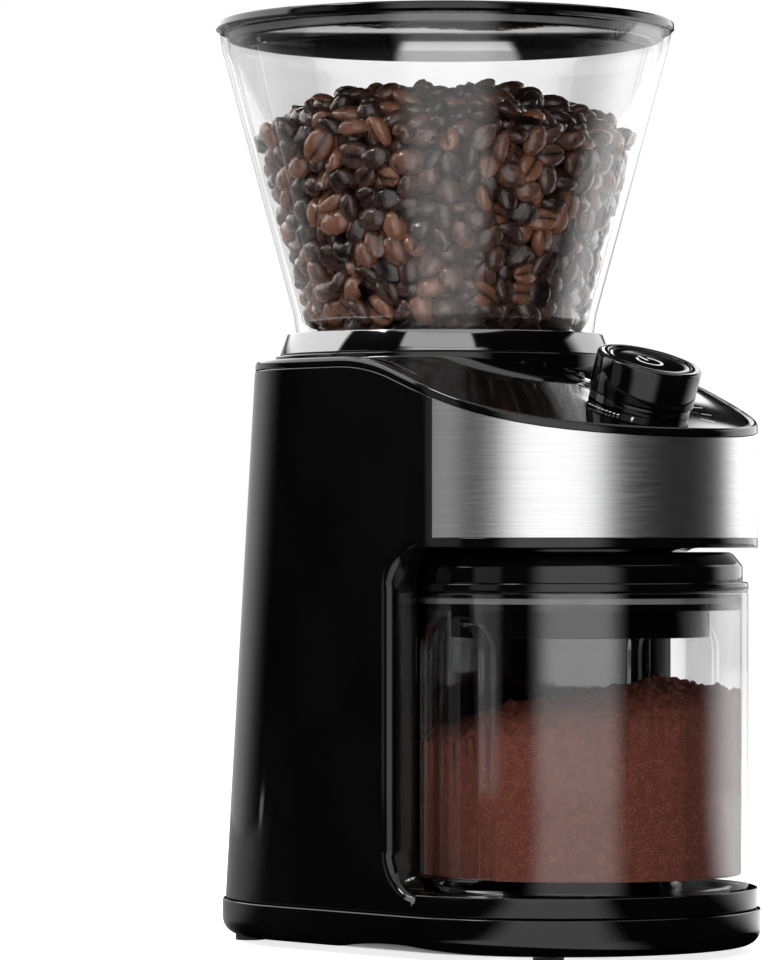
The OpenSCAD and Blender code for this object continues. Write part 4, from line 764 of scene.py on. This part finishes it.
marks = bmesh.new()
fine_scale = [(-91 - 3.6 * k, 19.7 - 0.02 * k, 20.5 + 0.06 * k, 0.5) for k in range(9)]
single_marks = [(-132, 18.4, 22.6, 0.6), (132, 18.4, 22.6, 0.6), (94, 19.4, 24.4, 0.5), (112, 20.0, 23.2, 0.5),
                (-20, 18.6, 20.4, 0.6), (-4, 20.4, 23.6, 0.6)]
for turn, near, far, width in fine_scale + single_marks:
    dash = bmesh.ops.create_grid(marks, x_segments=1, y_segments=1, size=0.5)["verts"]
    bmesh.ops.scale(marks, vec=(width * MM, (far - near) * MM, 1), verts=dash)
    bmesh.ops.translate(marks, vec=(0, (near + far) / 2 * MM, 0.03 * MM), verts=dash)
    bmesh.ops.rotate(marks, matrix=Matrix.Rotation(math.radians(-turn), 3, "Z"), verts=dash)
mesh_piece("dial_marks", on_the_panel(marks), print_with_painted_glow, "stand", "black_gloss")

# ---- Grounds container
# A clear round jar with two grip recesses, on a thick foot. A black lid with a mouth for
# the chute plugs its rim.


jar_plastic = clear_moulding("jar_plastic", 0.3)
softened("clear_jar", "grounds_container", 0.45, jar_plastic, "container", "clear_plastic")
jar_reach = 59.5
jar_centre = (0, axis_y - jar_reach)
mesh_piece("jar_lid", turned([
    (47.1, 100.8, 0), (47.1, 106, 0), (48.9, 106, 0), (49.5, 106.6, 0.2), (49.5, 109, 0.7), (47.8, 109, 0),
    (47.8, 113.7, 0.5), (44.5, 117.8, 1.2), (18.5, 117.8, 0.6), (16.5, 116.3, 0.4), (16.5, 115, 0),
    (36.2, 115, 0), (36.2, 92.8, 0), (38, 92.8, 0.4), (38, 115, 0), (43.5, 115, 0), (46, 112.7, 0),
    (46, 106, 0), (45.3, 105.5, 0), (45.3, 100.8, 0)], jar_centre),
    black_gloss, "container", "black_gloss", "container_lid")

# ---- Ground coffee
# A heap of fine grounds in the jar, highest under the chute at the back, with crumbs on
# its top. It lies loose in the container and travels with it.

heap_radius = 47.3
heap_floor = 23.3
drawn_top = 60
drawn_side = 36
grip_turn = 97
grip_half_turn = 19
grip_depth = 2.5
slope_turn = math.radians(42)


def heap_top(x, y):
    """Height in mm of the heap over a spot, measured from the jar's axis; y runs back."""
    across = (math.cos(slope_turn) * x - math.sin(slope_turn) * y) / 47.0
    away = (math.sin(slope_turn) * x + math.cos(slope_turn) * y) / 47.0
    height = 75.0 + 5.5 * across + 2.6 * away - 3.2 * (math.hypot(x, y) / 47.0) ** 2
    height += 3.2 * math.exp(-((across - 0.5) ** 2 + (away - 0.45) ** 2) / 0.09)
    height -= 3.2 * max(0.0, -across - 0.45) * 2.0
    lumps = noise.fractal(Vector((x, y, 0)) / 6.0, 0.8, 2.1, 5, noise_basis="PERLIN_ORIGINAL")
    crumbs = noise.voronoi(Vector((x, y, 0)) / 2.2)[0][0]
    return height + 2.0 * lumps - 2.2 * crumbs


def wall_radius(x, y):
    """How far the grounds reach at a spot's bearing: the jar's wall, or less behind a grip recess."""
    bearing = math.degrees(math.atan2(x, -y))
    off_grip = min(abs(abs(bearing) - grip_turn) / grip_half_turn, 1.6)
    return heap_radius - grip_depth * (1 - min(max((off_grip - 1) / 0.25, 0), 1))


grounds = bmesh.new()
rings = 90
profile = [(heap_radius * k / rings, drawn_top) for k in range(rings + 1)]
profile += [(heap_radius, drawn_top - drawn_side / 2), (heap_radius, drawn_top - drawn_side)]
points = [grounds.verts.new((radius * MM, 0, height * MM)) for radius, height in profile]
for a, b in zip(points, points[1:]):
    grounds.edges.new((a, b))
bmesh.ops.spin(grounds, geom=grounds.verts[:] + grounds.edges[:], cent=(0, 0, 0), axis=(0, 0, 1),
               angle=math.tau, steps=300, use_merge=True)
bmesh.ops.remove_doubles(grounds, verts=grounds.verts, dist=1e-6)
for v in grounds.verts:
    x, y, level = v.co.x / MM, v.co.y / MM, v.co.z / MM
    radius = math.hypot(x, y)
    fit = min(1.0, wall_radius(x, y) / radius) if radius > 40 else 1.0
    x, y = x * fit, y * fit
    top_here = heap_top(x, y)
    share = (drawn_top - level) / drawn_side
    v.co = (x * MM, y * MM, (top_here + (heap_floor - top_here) * share) * MM)
bmesh.ops.recalc_face_normals(grounds, faces=grounds.faces)
bmesh.ops.translate(grounds, vec=(0, jar_centre[1] * MM, 0), verts=grounds.verts)

ground_coffee, crumb = covered("ground_coffee")
fine = grain(ground_coffee, 2200.0, 2.0)
coarse = grain(ground_coffee, 420.0, 4.0)
mixed = node(ground_coffee, "Math", {0: coarse, 1: 0.5, 2: fine}, operation="MULTIPLY_ADD").outputs[0]
gritty = node(ground_coffee, "Bump", {"Height": fine, "Distance": 0.0003, "Strength": 1.0})
feed(ground_coffee, crumb, Roughness=between(ground_coffee, coarse, 0.75, 0.95), Normal=gritty.outputs[0],
     Base_Color=ramp(ground_coffee, mixed, (0.45, (0.1, 0.018, 0.009)), (1.0, (0.3, 0.095, 0.055)),
                     (0.75, (0.155, 0.033, 0.017))))
loose_fill("ground_coffee", grounds, ground_coffee, "container")
